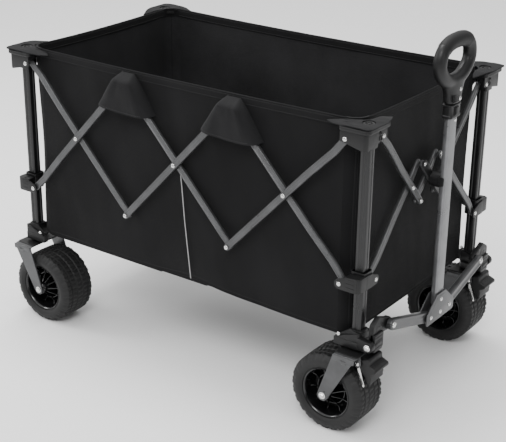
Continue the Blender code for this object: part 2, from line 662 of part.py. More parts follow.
# ---- Basket ----
def build_basket(wagon):
    outer = rounded_rectangle(BASKET_HALF_X, BASKET_HALF_Y, BASKET_CORNER, 4)
    inner_x, inner_y = BASKET_HALF_X - BASKET_WALL, BASKET_HALF_Y - BASKET_WALL
    inner = rounded_rectangle(inner_x, inner_y, BASKET_CORNER - BASKET_WALL, 4)
    made = plate("basket", [outer], BASKET_BOTTOM, BASKET_TOP)
    combine(made, [plate("inside", [inner], BASKET_BOTTOM + BASKET_FLOOR, BASKET_TOP + 0.05)], "DIFFERENCE")
    wagon.add(made, "basket", wagon.fabric)

    route = [(0.000, 0.4990), (0.006, 0.440), (0.012, 0.370), (0.020, 0.300), (0.028, 0.2320)]
    curve = bpy.data.curves.new("cord", "CURVE")
    curve.dimensions = "3D"
    curve.bevel_depth = CORD_RADIUS
    curve.bevel_resolution = 1
    curve.use_fill_caps = True
    spline = curve.splines.new("POLY")
    spline.points.add(len(route) - 1)
    for point, (x, z) in zip(spline.points, route):
        point.co = (x, 0, z, 1)
    made = mesh_from_curve(new_object("cord", curve))
    place = Matrix.Translation((0, -(BASKET_HALF_Y + LONG_INNER_Y - BAR_THICK / 2) / 2, 0))
    wagon.add(made, "support_cord", wagon.cord, place)


def main():
    clear_scene()
    wagon = Wagon()
    build_bars(wagon)
    build_corners(wagon)
    build_arms(wagon)
    build_handle(wagon)
    build_basket(wagon)


main()
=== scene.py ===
"""The looks of the folding camp wagon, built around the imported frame.

Corner pieces are made once for the corner where x and y both point outward, measured from the
post's axis, and mirrored to the other three. Every mesh is in the frame's own metres.
"""

import json
import math

import bmesh
import bpy
from mathutils import Matrix, Vector, noise


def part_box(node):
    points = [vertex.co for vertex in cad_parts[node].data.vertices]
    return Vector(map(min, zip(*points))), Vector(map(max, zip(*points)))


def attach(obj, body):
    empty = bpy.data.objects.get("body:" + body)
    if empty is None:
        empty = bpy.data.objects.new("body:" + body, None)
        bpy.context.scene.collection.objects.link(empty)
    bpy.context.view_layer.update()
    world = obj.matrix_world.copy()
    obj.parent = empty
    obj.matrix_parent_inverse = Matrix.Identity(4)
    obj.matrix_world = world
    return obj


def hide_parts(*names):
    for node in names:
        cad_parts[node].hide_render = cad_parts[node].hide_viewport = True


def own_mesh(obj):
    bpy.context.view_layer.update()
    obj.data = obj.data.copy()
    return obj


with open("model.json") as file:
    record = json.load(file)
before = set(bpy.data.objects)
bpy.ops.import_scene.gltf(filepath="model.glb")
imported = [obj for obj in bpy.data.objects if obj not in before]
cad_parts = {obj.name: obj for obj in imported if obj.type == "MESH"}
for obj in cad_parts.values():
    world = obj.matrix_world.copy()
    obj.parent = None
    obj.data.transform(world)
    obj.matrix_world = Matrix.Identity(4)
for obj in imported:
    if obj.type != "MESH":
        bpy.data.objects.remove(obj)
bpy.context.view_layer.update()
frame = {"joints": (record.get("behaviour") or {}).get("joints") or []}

# ---- Places, from the frame ----
JOINTS = {joint["name"]: joint for joint in frame["joints"]}


def joint_at(name):
    return Vector(JOINTS[name]["pos_m"])


BASKET_LOW, BASKET_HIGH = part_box("basket")
MID_X = (BASKET_LOW.x + BASKET_HIGH.x) / 2
BASKET_X = (BASKET_HIGH.x - BASKET_LOW.x) / 2
BASKET_Y = BASKET_HIGH.y
SWIVEL = joint_at("caster_front_left_swivel")
CORNER_X, CORNER_Y = SWIVEL.x - MID_X, SWIVEL.y
TOP_Z = joint_at("fold").z
SLIDE_Z = joint_at("slider_rear_right_pivot").z
LONG_X = joint_at("corner_front_right_pivot").x - MID_X
SHORT_Y = joint_at("corner_rear_left_pivot").y
SPAN = LONG_X / 3
MID_Z = (TOP_Z + SLIDE_Z) / 2
SHORT_LOW = joint_at("scissor_rear_2_up_pivot")
SHORT_SPAN, SHORT_RISE = -SHORT_LOW.y, MID_Z - SHORT_LOW.z
TILT = joint_at("handle_tilt")
ELBOW = joint_at("handle_arm_left_pivot")
HUB = joint_at("handle_hub_pivot")
AXLE = joint_at("wheel_front_left_spin")
BRAKE = joint_at("brake_front_left")
TRAIL = SWIVEL.x - AXLE.x
LONG_INNER_Y = sum(v.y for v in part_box("scissor_left_1_down")) / 2
SHORT_INNER_X = sum(v.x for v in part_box("scissor_front_1_up")) / 2 - MID_X
LAYER_STEP = 0.011                   # from the inner layer of bars to the outer one
TUBE_LOW, TUBE_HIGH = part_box("handle_inner_tube")
GRIP_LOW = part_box("handle_grip")[0]
TYRE_LOW, TYRE_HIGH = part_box("tyre_front_left")
WHEEL_RADIUS = (TYRE_HIGH.z - TYRE_LOW.z) / 2
WHEEL_HALF = (TYRE_HIGH.y - TYRE_LOW.y) / 2
POST_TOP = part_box("post_front_left")[1].z
FOOT_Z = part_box("post_front_left")[0].z
BRACKET_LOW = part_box("top_bracket_front_left")[0]
BUTTON_LOW, BUTTON_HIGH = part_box("lock_button")
CORNERS = {"front_right": (1, -1), "front_left": (1, 1), "rear_right": (-1, -1), "rear_left": (-1, 1)}

# ---- Sizes of the visible pieces ----
BAR_WIDTH, BAR_THICK = 0.016, 0.009
BAR_CRANK = 0.046                    # from a bar's end pivot to its slight bend
BAR_BEND = 0.0035
SHORTEST_CRANKED = 2.4 * BAR_CRANK     # bars shorter than this are plain
RIVET_RADIUS, RIVET_RISE = 0.0052, 0.0022
PIN_X, PIN_Y = LONG_X - CORNER_X, SHORT_Y - CORNER_Y     # a bracket's pins, from the post's axis
LONG_FACE, SHORT_FACE = 0.0388, 0.0197                   # outer faces of brackets and sliders
CLOTH = 0.0022
PIPING = 0.0022                      # radius of the piping along the basket's foot
CORNER_ROUND = 0.035                 # radius of the basket's corners
RIM_Z, HEM = 0.6925, 0.02
BASE_Z = 0.2245                      # lower edge of the basket's sides
CAP_Z = 0.6865                       # top of the brackets' caps
GRIP_HALF_Y, GRIP_HALF_Z, GRIP_Z = 0.0655, 0.0425, 0.7685          # middle line of the grip's loop
WHEEL_TURNS = {"front_right": 8, "front_left": 30, "rear_right": 19, "rear_left": 3}      # in degrees


# ---- Sides of the wagon ----
def facing(side):
    """Whether a side is long, the sign of the axis that it faces along, and that direction."""
    is_long, sign = side in ("right", "left"), 1 if side in ("left", "front") else -1
    return is_long, sign, Vector((0, sign, 0)) if is_long else Vector((sign, 0, 0))


# ---- Mesh helpers ----
def made_object(name, mesh):
    made = bpy.data.objects.new(name, mesh)
    bpy.context.scene.collection.objects.link(made)
    return made


def baked(obj):
    """Replace the object's data by its evaluated mesh, welded."""
    bpy.context.view_layer.update()
    evaluated = obj.evaluated_get(bpy.context.evaluated_depsgraph_get())
    mesh = bpy.data.meshes.new_from_object(evaluated)
    if obj.type != "MESH":
        fresh = made_object(obj.name, mesh)
        bpy.data.objects.remove(obj, do_unlink=True)
        obj = fresh
    else:
        obj.modifiers.clear()
        obj.data = mesh
    work = bmesh.new()
    work.from_mesh(mesh)
    bmesh.ops.remove_doubles(work, verts=work.verts, dist=0.00001)
    bmesh.ops.recalc_face_normals(work, faces=work.faces)
    work.to_mesh(mesh)
    work.free()
    return obj


PLANES = {
    "XY": Matrix.Identity(4),
    "XZ": Matrix(((1, 0, 0, 0), (0, 0, -1, 0), (0, 1, 0, 0), (0, 0, 0, 1))),
    "YZ": Matrix(((0, 0, 1, 0), (1, 0, 0, 0), (0, 1, 0, 0), (0, 0, 0, 1))),
}


def plate(loops, low, high, finish, plane="XY", edge=0.0008):
    """A flat piece with rounded edges. Its outlines lie in a plane, between two values of the third axis."""
    curve = bpy.data.curves.new("plate", "CURVE")
    curve.dimensions = "2D"
    curve.fill_mode = "BOTH"
    curve.extrude = (high - low) / 2 - edge
    curve.bevel_depth = edge
    curve.bevel_resolution = 2
    curve.offset = -edge
    for loop in loops:
        spline = curve.splines.new("POLY")
        spline.points.add(len(loop) - 1)
        for point, (x, y) in zip(spline.points, loop):
            point.co = (x, y, 0, 1)
        spline.use_cyclic_u = True
    made = baked(made_object("plate", curve))
    middle = (low + high) / 2
    shift = {"XY": (0, 0, middle), "XZ": (0, middle, 0), "YZ": (middle, 0, 0)}[plane]
    made.data.transform(Matrix.Translation(shift) @ PLANES[plane])
    if PLANES[plane].determinant() < 0:
        made.data.flip_normals()
    made.data.materials.append(finish)
    return made


def loft(rings, finish, closed=False):
    """A surface through rings of points, with its ends capped or joined to each other."""
    count = len(rings[0])
    mesh = bpy.data.meshes.new("loft")
    points = [tuple(p) for ring in rings for p in ring]
    faces = []
    for row in range(len(rings) - (0 if closed else 1)):
        here, there = row * count, (row + 1) % len(rings) * count
        for n in range(count):
            after = (n + 1) % count
            faces.append((here + n, here + after, there + after, there + n))
    if not closed:
        faces += [tuple(reversed(range(count))), tuple(range(len(points) - count, len(points)))]
    mesh.from_pydata(points, [], faces)
    made = made_object("loft", mesh)
    work = bmesh.new()
    work.from_mesh(mesh)
    bmesh.ops.recalc_face_normals(work, faces=work.faces)
    work.to_mesh(mesh)
    work.free()
    made.data.materials.append(finish)
    return made


def turned(profile, steps, finish, axis="Z", at=(0, 0, 0), closed=False):
    """A profile of (radius, height) turned about an axis through a point."""
    rings = []
    for radius, height in profile:
        ring = []
        for n in range(steps):
            angle = 2 * math.pi * n / steps
            a, b = radius * math.cos(angle), radius * math.sin(angle)
            offset = {"Z": (a, b, height), "Y": (b, height, a), "X": (height, a, b)}[axis]
            ring.append(Vector(at) + Vector(offset))
        rings.append(ring)
    return loft(rings, finish, closed)


def sheet_mesh(rows, cols, point, finish, thick=CLOTH):
    """A grid of points with some thickness, as cloth."""
    mesh = bpy.data.meshes.new("cloth")
    points = [tuple(point(r / (rows - 1), c / (cols - 1))) for r in range(rows) for c in range(cols)]
    faces = [(r * cols + c, r * cols + c + 1, (r + 1) * cols + c + 1, (r + 1) * cols + c)
             for r in range(rows - 1) for c in range(cols - 1)]
    mesh.from_pydata(points, [], faces)
    made = made_object("cloth", mesh)
    shell = made.modifiers.new("Shell", "SOLIDIFY")
    shell.thickness = thick
    shell.offset = 0
    made = baked(made)
    made.data.materials.clear()
    made.data.materials.append(finish)
    return made


def joined(parts):
    """Join pieces into one object, which keeps each one's material."""
    if len(parts) == 1:
        return parts[0]
    with bpy.context.temp_override(active_object=parts[0], object=parts[0],
                                   selected_objects=parts, selected_editable_objects=parts):
        bpy.ops.object.join()
    return parts[0]


def copied(obj):
    twin = obj.copy()
    twin.data = obj.data.copy()
    bpy.context.scene.collection.objects.link(twin)
    return twin


def moved(obj, matrix):
    obj.data.transform(matrix)
    if matrix.determinant() < 0:
        obj.data.flip_normals()
    return obj


def settled(obj, name, body, slot, *nodes, angle=35):
    """Name a piece, shade it, and let it ride on its body and stand for its nodes."""
    obj.name = name
    obj.data.name = name
    obj.data.shade_smooth()
    obj.data.set_sharp_from_angle(angle=math.radians(angle))
    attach(obj, body)
    if nodes:
        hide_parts(*nodes)
    return obj


def arc(middle, radius, start, end, steps):
    turns = [math.radians(start + (end - start) * n / steps) for n in range(steps + 1)]
    return [(middle[0] + radius * math.cos(t), middle[1] + radius * math.sin(t)) for t in turns]


def rounded(half_x, half_y, radius, steps=4, middle=(0, 0)):
    points = []
    for n, (sx, sy) in enumerate(((1, -1), (1, 1), (-1, 1), (-1, -1))):
        centre = (middle[0] + sx * (half_x - radius), middle[1] + sy * (half_y - radius))
        points += arc(centre, radius, 90 * n - 90, 90 * n, steps)
    return points


def mm(*numbers):
    """The points of an outline, given as x, y, x, y and so on in millimetres."""
    return [(x / 1000, y / 1000) for x, y in zip(numbers[::2], numbers[1::2])]


def circle(steps):
    return [2 * math.pi * n / steps for n in range(steps)]


def signed_power(value, exponent):
    return math.copysign(abs(value) ** exponent, value)


def shift(x, y, z):
    return Matrix.Translation((x, y, z))


def spin(degrees, axis):
    return Matrix.Rotation(math.radians(degrees), 4, axis)


def signed(axis, sign):
    return axis if sign > 0 else "-" + axis


def plates(finish, *rows):
    """Several plates of one finish. Each is its outlines, two heights, and maybe its plane and edge."""
    return [plate(loops, low, high, finish, *rest) for loops, low, high, *rest in rows]


def plate_pair(loops, near, far, finish, edge):
    """The same plate on both sides of the XZ plane, between two distances from it."""
    return [plate(loops, *sorted((side * near, side * far)), finish, "XZ", edge) for side in (-1, 1)]


def smoothstep(low, high, x):
    t = min(1.0, max(0.0, (x - low) / (high - low)))
    return t * t * (3 - 2 * t)


def rivet(at, axis, radius=RIVET_RADIUS, rise=RIVET_RISE):
    """A domed rivet head. Its axis is a letter that may have a minus, such as -Y."""
    sign = -1 if axis[0] == "-" else 1
    profile = [(radius, -0.001)] + [
        (radius * math.cos(math.radians(t)), rise * math.sin(math.radians(t))) for t in (0, 25, 50, 72)
    ]
    profile.append((radius * 0.05, rise))
    return turned([(r, sign * h) for r, h in profile], 16, ZINC, axis[-1], at)


def bolt(at, axis, radius, rise):
    """A washer with a hexagon head on it."""
    sign = -1 if axis[0] == "-" else 1
    washer = [(radius, -0.001), (radius, 0.001), (radius * 0.94, 0.0014), (radius * 0.2, 0.0014)]
    head = [(radius * 0.66, 0), (radius * 0.66, rise - 0.0008), (radius * 0.56, rise), (radius * 0.05, rise)]
    return [turned([(r, sign * h) for r, h in profile], steps, ZINC, axis[-1], at)
            for profile, steps in ((washer, 24), (head, 6))]


# ---- Materials ----
class Finish:
    """A Principled material whose colour, roughness and bump come from nodes on the mesh's own place."""

    def __init__(self, name, colour, roughness, metallic=0.0):
        self.material = bpy.data.materials.new(name)
        self.material.use_nodes = True
        self.nodes = self.material.node_tree.nodes
        self.links = self.material.node_tree.links
        self.shader = self.nodes["Principled BSDF"]
        self.colour = colour
        self.set("Base Color", (*colour, 1))
        self.set("Roughness", roughness)
        self.set("Metallic", metallic)
        self.place = self.nodes.new("ShaderNodeTexCoord").outputs["Object"]
        self.normal = None

    def set(self, name, value):
        self.shader.inputs[name].default_value = value
        return self

    def noise(self, scale, detail=3.0, roughness=0.55, stretch=None):
        texture = self.nodes.new("ShaderNodeTexNoise")
        texture.inputs["Scale"].default_value = scale
        texture.inputs["Detail"].default_value = detail
        texture.inputs["Roughness"].default_value = roughness
        place = self.place
        if stretch:
            mapping = self.nodes.new("ShaderNodeMapping")
            mapping.inputs["Scale"].default_value = stretch
            self.links.new(place, mapping.inputs["Vector"])
            place = mapping.outputs["Vector"]
        self.links.new(place, texture.inputs["Vector"])
        return texture.outputs["Fac"]

    def maths(self, operation, a, b=None):
        node = self.nodes.new("ShaderNodeMath")
        node.operation = operation
        for socket, value in zip(node.inputs, (a, b)):
            if isinstance(value, (int, float)):
                socket.default_value = value
            elif value is not None:
                self.links.new(value, socket)
        return node.outputs[0]

    def ramp(self, value, low, high, to_low, to_high):
        node = self.nodes.new("ShaderNodeMapRange")
        for name, number in (("From Min", low), ("From Max", high), ("To Min", to_low), ("To Max", to_high)):
            node.inputs[name].default_value = number
        self.links.new(value, node.inputs["Value"])
        return node.outputs["Result"]

    def vary_colour(self, value, dark, light):
        """Mix between two strengths of the colour by a value from 0 to 1."""
        mix = self.nodes.new("ShaderNodeMix")
        mix.data_type = "RGBA"
        colours = [socket for socket in mix.inputs if socket.type == "RGBA"]
        for socket, strength in zip(colours, (dark, light)):
            socket.default_value = (*[channel * strength for channel in self.colour], 1)
        self.links.new(value, mix.inputs["Factor"])
        result = [socket for socket in mix.outputs if socket.type == "RGBA"][0]
        self.links.new(result, self.shader.inputs["Base Color"])
        return self

    def vary_roughness(self, value, low, high):
        self.links.new(self.ramp(value, 0.3, 0.7, low, high), self.shader.inputs["Roughness"])
        return self

    def bump(self, height, strength, distance):
        node = self.nodes.new("ShaderNodeBump")
        node.inputs["Strength"].default_value = strength
        node.inputs["Distance"].default_value = distance
        self.links.new(height, node.inputs["Height"])
        if self.normal is not None:
            self.links.new(self.normal, node.inputs["Normal"])
        self.normal = node.outputs["Normal"]
        self.links.new(self.normal, self.shader.inputs["Normal"])
        return self

    def axes(self):
        split = self.nodes.new("ShaderNodeSeparateXYZ")
        self.links.new(self.place, split.inputs["Vector"])
        return split.outputs


def solid_finish(name, colour, roughness, metallic=0.0, specular=None, broad=40, tones=(0.8, 1.3), ramp=None,
                 rough=None, fine=(1000, 2), bump=(0.2, 0.0003)):
    """Paint, metal, plastic or rubber: the tone and gloss drift broadly, and the surface has a fine grain."""
    finish = Finish(name, colour, roughness, metallic)
    if specular is not None:
        finish.set("Specular IOR Level", specular)
    drift = finish.noise(*broad) if isinstance(broad, tuple) else finish.noise(broad)
    finish.vary_colour(finish.ramp(drift, *ramp, 0, 1) if ramp else drift, *tones)
    if rough:
        finish.vary_roughness(drift, *rough)
    return finish.bump(finish.noise(*fine), *bump).material


def painted_steel(name, level, metallic):
    return solid_finish(name, (level, level * 1.01, level * 1.04), 0.34, metallic, None, 26, (0.84, 1.14),
                        (0.35, 0.65), (0.27, 0.4), (1500, 2), (0.16, 0.0003))






def grip_rubber():
    finish = Finish("grip_rubber", (0.006, 0.006, 0.0063), 0.58)
    finish.set("Specular IOR Level", 0.3)
    cells = finish.nodes.new("ShaderNodeTexVoronoi")
    cells.inputs["Scale"].default_value = 520
    finish.links.new(finish.place, cells.inputs["Vector"])
    finish.vary_colour(finish.noise(60), 0.8, 1.3)
    return finish.bump(cells.outputs["Distance"], 0.7, 0.0006).material






def woven(name, colour, level, pitch=0.0011):
    """Plain-weave polyester: threads cross along the wall and up it, or along a level floor."""
    finish = Finish(name, colour, 0.78)
    x, y, z = finish.axes()
    across = x if level else finish.maths("ADD", x, y)
    up = y if level else z
    turn = 2 * math.pi / pitch
    warp = finish.maths("SINE", finish.maths("MULTIPLY", across, turn))
    weft = finish.maths("SINE", finish.maths("MULTIPLY", up, turn))
    threads = finish.maths("MULTIPLY", warp, weft)
    slub = finish.noise(90, 4, 0.6, (1, 1, 5))
    cloud = finish.noise(7, 3)
    tone = finish.maths("ADD", finish.maths("MULTIPLY", slub, 0.45), finish.maths("MULTIPLY", cloud, 0.55))
    finish.vary_colour(finish.ramp(tone, 0.38, 0.62, 0, 1), 0.72, 1.35)
    finish.vary_roughness(slub, 0.7, 0.86)
    finish.set("Sheen Weight", 0.035).set("Sheen Roughness", 0.5).set("Specular IOR Level", 0.12)
    finish.bump(threads, 0.35, 0.00035)
    return finish.bump(finish.noise(55, 4, 0.6), 0.25, 0.0012).material


def cord_weave():
    finish = Finish("cord_braid", (0.34, 0.34, 0.34), 0.7)
    twist = finish.maths("SINE", finish.maths("MULTIPLY", finish.axes()["Z"], 2 * math.pi / 0.0022))
    finish.vary_colour(finish.ramp(twist, -1, 1, 0, 1), 0.8, 1.15)
    return finish.bump(twist, 0.5, 0.0003).material


def pale_floor():
    finish = Finish("pale_floor", (0.9, 0.9, 0.9), 0.8)
    return finish.vary_colour(finish.noise(2), 0.99, 1.0).material


# The posts take a darker copy of the painted steel. This is painted shade for their faces towards the camera,
# which lie in shadow.
STEEL, SHADED_POST_STEEL = painted_steel("painted_steel", 0.066, 0.45), painted_steel("post_steel_painted_shade", 0.013, 0.35)
# The handle's outer tube takes a lighter copy of the painted steel. This is painted light, where the lamps
# fall on it.
LIT_HANDLE_STEEL = painted_steel("handle_steel_painted_light", 0.165, 0.6)
ZINC = solid_finish("bare_zinc", (0.62, 0.62, 0.61), 0.24, 0.95, None, (900, 3), (0.8, 1.15),
                    fine=(900, 3), bump=(0.12, 0.0002))
PLASTIC = solid_finish("black_plastic", (0.0064, 0.0064, 0.0067), 0.4, 0.0, 0.3, 40, (0.75, 1.3),
                       rough=(0.36, 0.5), fine=(2600, 2), bump=(0.22, 0.0003))
RUBBER = grip_rubber()
TYRE = solid_finish("tyre_rubber", (0.0094, 0.0094, 0.0096), 0.6, 0.0, 0.34, 30, (0.8, 1.3), (0.3, 0.7),
                    (0.52, 0.7), (1100, 4), (0.3, 0.0005))
RIM = solid_finish("rim_plastic", (0.004, 0.004, 0.0044), 0.2, 0.0, None, 50, (0.7, 1.3),
                   rough=(0.16, 0.28), fine=(300, 2), bump=(0.05, 0.0003))
WALL = woven("basket_wall_cloth", (0.0046, 0.0046, 0.005), False)
# The lining is a lighter copy of the cloth. It is partly its own tone and partly painted light against the
# shade inside the basket.
LINING_AND_PAINTED_LIGHT = woven("basket_lining_cloth_and_painted_light", (0.015, 0.015, 0.0158), False)
FLOOR = woven("basket_floor_cloth", (0.0046, 0.0046, 0.005), True)
POCKET = woven("pocket_cloth", (0.0088, 0.0088, 0.0094), False)
BINDING = woven("binding_tape", (0.0052, 0.0052, 0.0056), False, 0.0016)
THREAD = Finish("sewing_thread", (0.016, 0.016, 0.017), 0.7).material
BRAID = cord_weave()


# ---- Scissor bars ----
def bar_section(half_width, half_thick):
    """A rounded flat section in (width, thickness), with a shallow channel along each flat face."""
    corner = min(0.0026, half_thick * 0.8, half_width * 0.8)
    channel = half_width * 0.52
    depth = 0.0009 * min(1.0, half_width / 0.008)
    points = []
    for n, (sx, sy) in enumerate(((1, -1), (1, 1), (-1, 1), (-1, -1))):
        centre = (sx * (half_width - corner), sy * (half_thick - corner))
        points += arc(centre, corner, 90 * n - 90, 90 * n, 3)
        if n in (1, 3):
            points += [(sx * channel, sy * half_thick), (sx * channel * 0.75, sy * (half_thick - depth)),
                       (-sx * channel * 0.75, sy * (half_thick - depth)), (-sx * channel, sy * half_thick)]
    return points


def flat_bar(length, width, thick, finish, cranks=(0, 0), flatten=0.0):
    """A bar along X from the pivot at 0, with round tips that may be flat, and a slight bend by each end."""
    half, rings = width / 2, []
    tips = [math.radians(t) for t in (8, 30, 55, 90)]
    near_end, short_of_bend = 0.012, 0.026
    inner = [length * 0.5]
    if length > SHORTEST_CRANKED:
        inner = [near_end, short_of_bend, BAR_CRANK, length * 0.3, length * 0.5, length * 0.7,
                 length - BAR_CRANK, length - short_of_bend, length - near_end]
    stations = [(-half * math.cos(t), math.sin(t)) for t in tips]
    stations += [(x, 1.0) for x in inner] + [(length + half * math.cos(t), math.sin(t)) for t in tips]
    for x, share in sorted(stations):
        end = min(abs(x), abs(length - x))
        slim = 1 - flatten * (1 - smoothstep(0.01, 0.03, end if 0 < x < length else 0))
        reach, swing = (x, cranks[0]) if x < length / 2 else (length - x, cranks[1])
        rise = swing * BAR_BEND * (smoothstep(0, BAR_CRANK, reach) - smoothstep(BAR_CRANK, 0.15, reach))
        section = bar_section(half * max(share, 0.12), thick / 2 * slim * (0.75 + 0.25 * share))
        rings.append([(x, w + rise, t) for w, t in section])
    return loft(rings, finish)


def long_bars():
    s, up, down = SPAN, TOP_Z, SLIDE_Z
    return [
        ("1_down", (-3 * s, up), (-s, down), False, (1, 0)), ("1_up", (-3 * s, down), (-s, up), True,
                                                              (-1, 0)),
        ("2_down", (-s, up), (s, down), False, (0, 0)), ("2_up", (-s, down), (s, up), True, (0, 0)),
        ("3_down", (s, up), (3 * s, down), False, (0, 1)), ("3_up", (s, down), (3 * s, up), True, (0, -1)),
    ]


def short_bars():
    y, up, down, s = SHORT_Y, TOP_Z, SLIDE_Z, SHORT_SPAN
    high, low = MID_Z + SHORT_RISE, MID_Z - SHORT_RISE
    return [
        ("1_down", (-y, up), (-s, low), True, (1, 0)), ("1_up", (-y, down), (-s, high), False, (-1, 0)),
        ("2_up", (-s, low), (s, high), False, (0, 0)), ("2_down", (-s, high), (s, low), True, (0, 0)),
        ("3_up", (s, low), (y, up), False, (0, -1)), ("3_down", (s, high), (y, down), True, (0, 1)),
    ]


def bar_rivets(name, side, length, outer):
    """Distances along a bar at which its rivets sit."""
    if not outer:
        return []
    half = math.hypot(SPAN, (TOP_Z - SLIDE_Z) / 2)
    small = math.hypot(SHORT_SPAN, SHORT_RISE)
    if side in ("right", "left"):
        return {"1_up": [half, length], "2_up": [0, half, length], "3_up": [0, half]}[name]
    return {"1_down": [half, length], "2_down": [0, small, length], "3_down": [0, small]}[name]


def build_bars():
    for side in ("right", "left", "front", "rear"):
        is_long, sign, _ = facing(side)
        for name, start, end, outer, cranks in (long_bars() if is_long else short_bars()):
            length = math.dist(start, end)
            parts = [flat_bar(length, BAR_WIDTH, BAR_THICK, STEEL, cranks, 0.25)]
            outward = sign * (1 if not is_long else -1)       # which way local Z points is outward
            for x in bar_rivets(name, side, length, outer):
                parts.append(rivet((x, 0, outward * BAR_THICK / 2), "Z" if outward > 0 else "-Z"))
                tail = -outward * (LAYER_STEP + BAR_THICK / 2)
                parts.append(rivet((x, 0, tail), "-Z" if outward > 0 else "Z", 0.0042, 0.0016))
            made = joined(parts)
            layer = (LONG_INNER_Y if is_long else SHORT_INNER_X) + (LAYER_STEP if outer else 0)
            angle = math.atan2(end[1] - start[1], end[0] - start[0])
            if is_long:
                place = shift(MID_X + start[0], sign * layer, start[1])
                place = place @ Matrix.Rotation(-angle, 4, "Y") @ Matrix.Rotation(math.pi / 2, 4, "X")
            else:
                place = shift(MID_X + sign * layer, start[0], start[1])
                place = place @ Matrix.Rotation(angle, 4, "X") @ PLANES["YZ"]
            node = f"scissor_{side}_{name}"
            settled(moved(made, place), f"bar_{side}_{name}", node, "painted_steel", node)


# ---- Corner posts and their plastic pieces ----
def post_tube():
    half, groove, depth = 0.011, 0.0035, 0.0012
    ring = []
    for n in range(4):
        turn = Matrix.Rotation(math.radians(90 * n), 2)
        side = arc((half - 0.0035, -(half - 0.0035)), 0.0035, -75, 0, 4)
        side += [(half, -groove), (half - depth, -groove * 0.6), (half - depth, groove * 0.6), (half, groove)]
        ring += [tuple(turn @ Vector(p)) for p in side]
    # The post is in the darker steel, painted shade.
    return loft([[(x, y, z) for x, y in ring] for z in (FOOT_Z + 0.02, POST_TOP)], SHADED_POST_STEEL)


def foot(front):
    """The plastic foot that a post stands in. The front ones have an ear for the elbow's hinge."""
    base = mm(-43, 11, -18, 11, -15, 6, -15, -15, -5, -33, 13.5, -35, 16.5, -32, 16.5, 23, 12.5, 27, -43, 27,
              -45, 25, -45, 13)
    upper = mm(-40, 12.5, -15.5, 12.5, -15.5, -15.5, -10, -26, 12.5, -26, 15.5, -22, 15.5, 22.5, 12.5, 25.7,
               -40, 25.7)
    parts = plates(PLASTIC, ([upper], FOOT_Z + 0.012, FOOT_Z + 0.037, "XY", 0.0012),
                   ([base], FOOT_Z, FOOT_Z + 0.017, "XY", 0.0015),
                   ([rounded(0.0152, 0.0152, 0.005)], FOOT_Z + 0.03, FOOT_Z + 0.0385, "XY", 0.0012))
    for vertex in parts[0].data.vertices:
        if vertex.co.z > FOOT_Z + 0.03:
            slope = max(0.0, -vertex.co.x - 0.015) + max(0.0, -vertex.co.y - 0.0155)
            vertex.co.z -= 0.7 * slope
    washer = [(0.0155, FOOT_Z - 0.0004), (0.0155, FOOT_Z - 0.0058), (0.01, FOOT_Z - 0.0058)]
    parts += [turned(washer, 28, STEEL), rivet((-0.033, 0.0266, FOOT_Z + 0.0255), "Y", 0.0045),
              rivet((0.016, -0.024, FOOT_Z + 0.012), "X", 0.0042)]
    if front:
        x, z = TILT.x - SWIVEL.x, TILT.z
        ear = arc((x, z), 0.0115, -90, 90, 10) + [(0.012, z + 0.0155), (0.012, FOOT_Z + 0.0008)]
        parts += plates(PLASTIC, ([ear], 0.0125, 0.0266, "XZ", 0.0012),
                        ([arc((x, z), 0.0085, 0, 354, 20)], 0.0262, 0.0276, "XZ", 0.0005))
    return joined(parts)


def top_bracket():
    wall = ([(-0.042, LONG_FACE)] + arc((0.0108, 0.03), 0.0088, 90, 0, 7) + [(SHORT_FACE, -0.039)]
            + [(0.016, -0.039)] + arc((0.0108, 0.03), 0.0052, 0, 90, 7) + [(-0.042, 0.0352)])
    low, top = BRACKET_LOW.z, CAP_Z - 0.0075
    made = plate([wall], low, top, PLASTIC, edge=0.0009)
    for vertex in made.data.vertices:
        if vertex.co.z < low + 0.02:
            tip = smoothstep(0.006, 0.042, -vertex.co.x) + smoothstep(0.004, 0.039, -vertex.co.y)
            vertex.co.z += 0.013 * min(1.0, tip)
    block = plate([rounded(0.0152, 0.0152, 0.004)], low - 0.004, top, PLASTIC, edge=0.0012)
    web = plate([mm(-6, 10, 17, 10, 17, 36, -6, 36)], low + 0.006, top, PLASTIC)
    shelf = mm(-42, 15, -42, 36, 17, 36, 17, -39, 0, -39)
    cap = (arc((-0.038, 0.0345), 0.007, 90, 180, 4) + [(-0.045, 0.01)]
           + arc((0.002, -0.0365), 0.007, 200, 270, 4) + arc((0.019, -0.0365), 0.007, 270, 360, 4)
           + arc((0.015, 0.031), 0.0105, 0, 90, 6))
    rim = [(x * 0.86 - 0.001, y * 0.86) for x, y in cap]
    parts = [made, block, web, plate([shelf], top - 0.01, top - 0.001, PLASTIC),
             plate([cap], top - 0.002, top + 0.0055, PLASTIC, edge=0.0018),
             plate([cap, rim], top + 0.004, top + 0.0075, PLASTIC, edge=0.0007)]
    parts.append(turned([(0.0125, top), (0.0125, top + 0.0085), (0.0112, top + 0.0098),
                         (0.0085, top + 0.0098),
                         (0.0078, top + 0.008), (0.0004, top + 0.008)], 30, PLASTIC))
    for angle in (20, 80, 140):
        bar = plate([rounded(0.0072, 0.0009, 0.0008, 2)], top + 0.0075, top + 0.0093, PLASTIC, edge=0.0003)
        parts.append(moved(bar, spin(angle, "Z")))
    for z, half in ((low + 0.028, 0.0042), (low + 0.0165, 0.0055)):      # framed slots in the short wing
        frame_loops = [rounded(0.0044, half, 0.003, 4, (-0.014, z)),
                       rounded(0.0026, half - 0.0018, 0.002, 4, (-0.014, z))]
        parts.append(plate(frame_loops, SHORT_FACE - 0.001, SHORT_FACE + 0.0012, PLASTIC, "YZ", 0.0004))
    parts += [rivet((PIN_X, LONG_FACE, TOP_Z), "Y"), rivet((SHORT_FACE, PIN_Y, TOP_Z), "X")]
    return joined(parts)


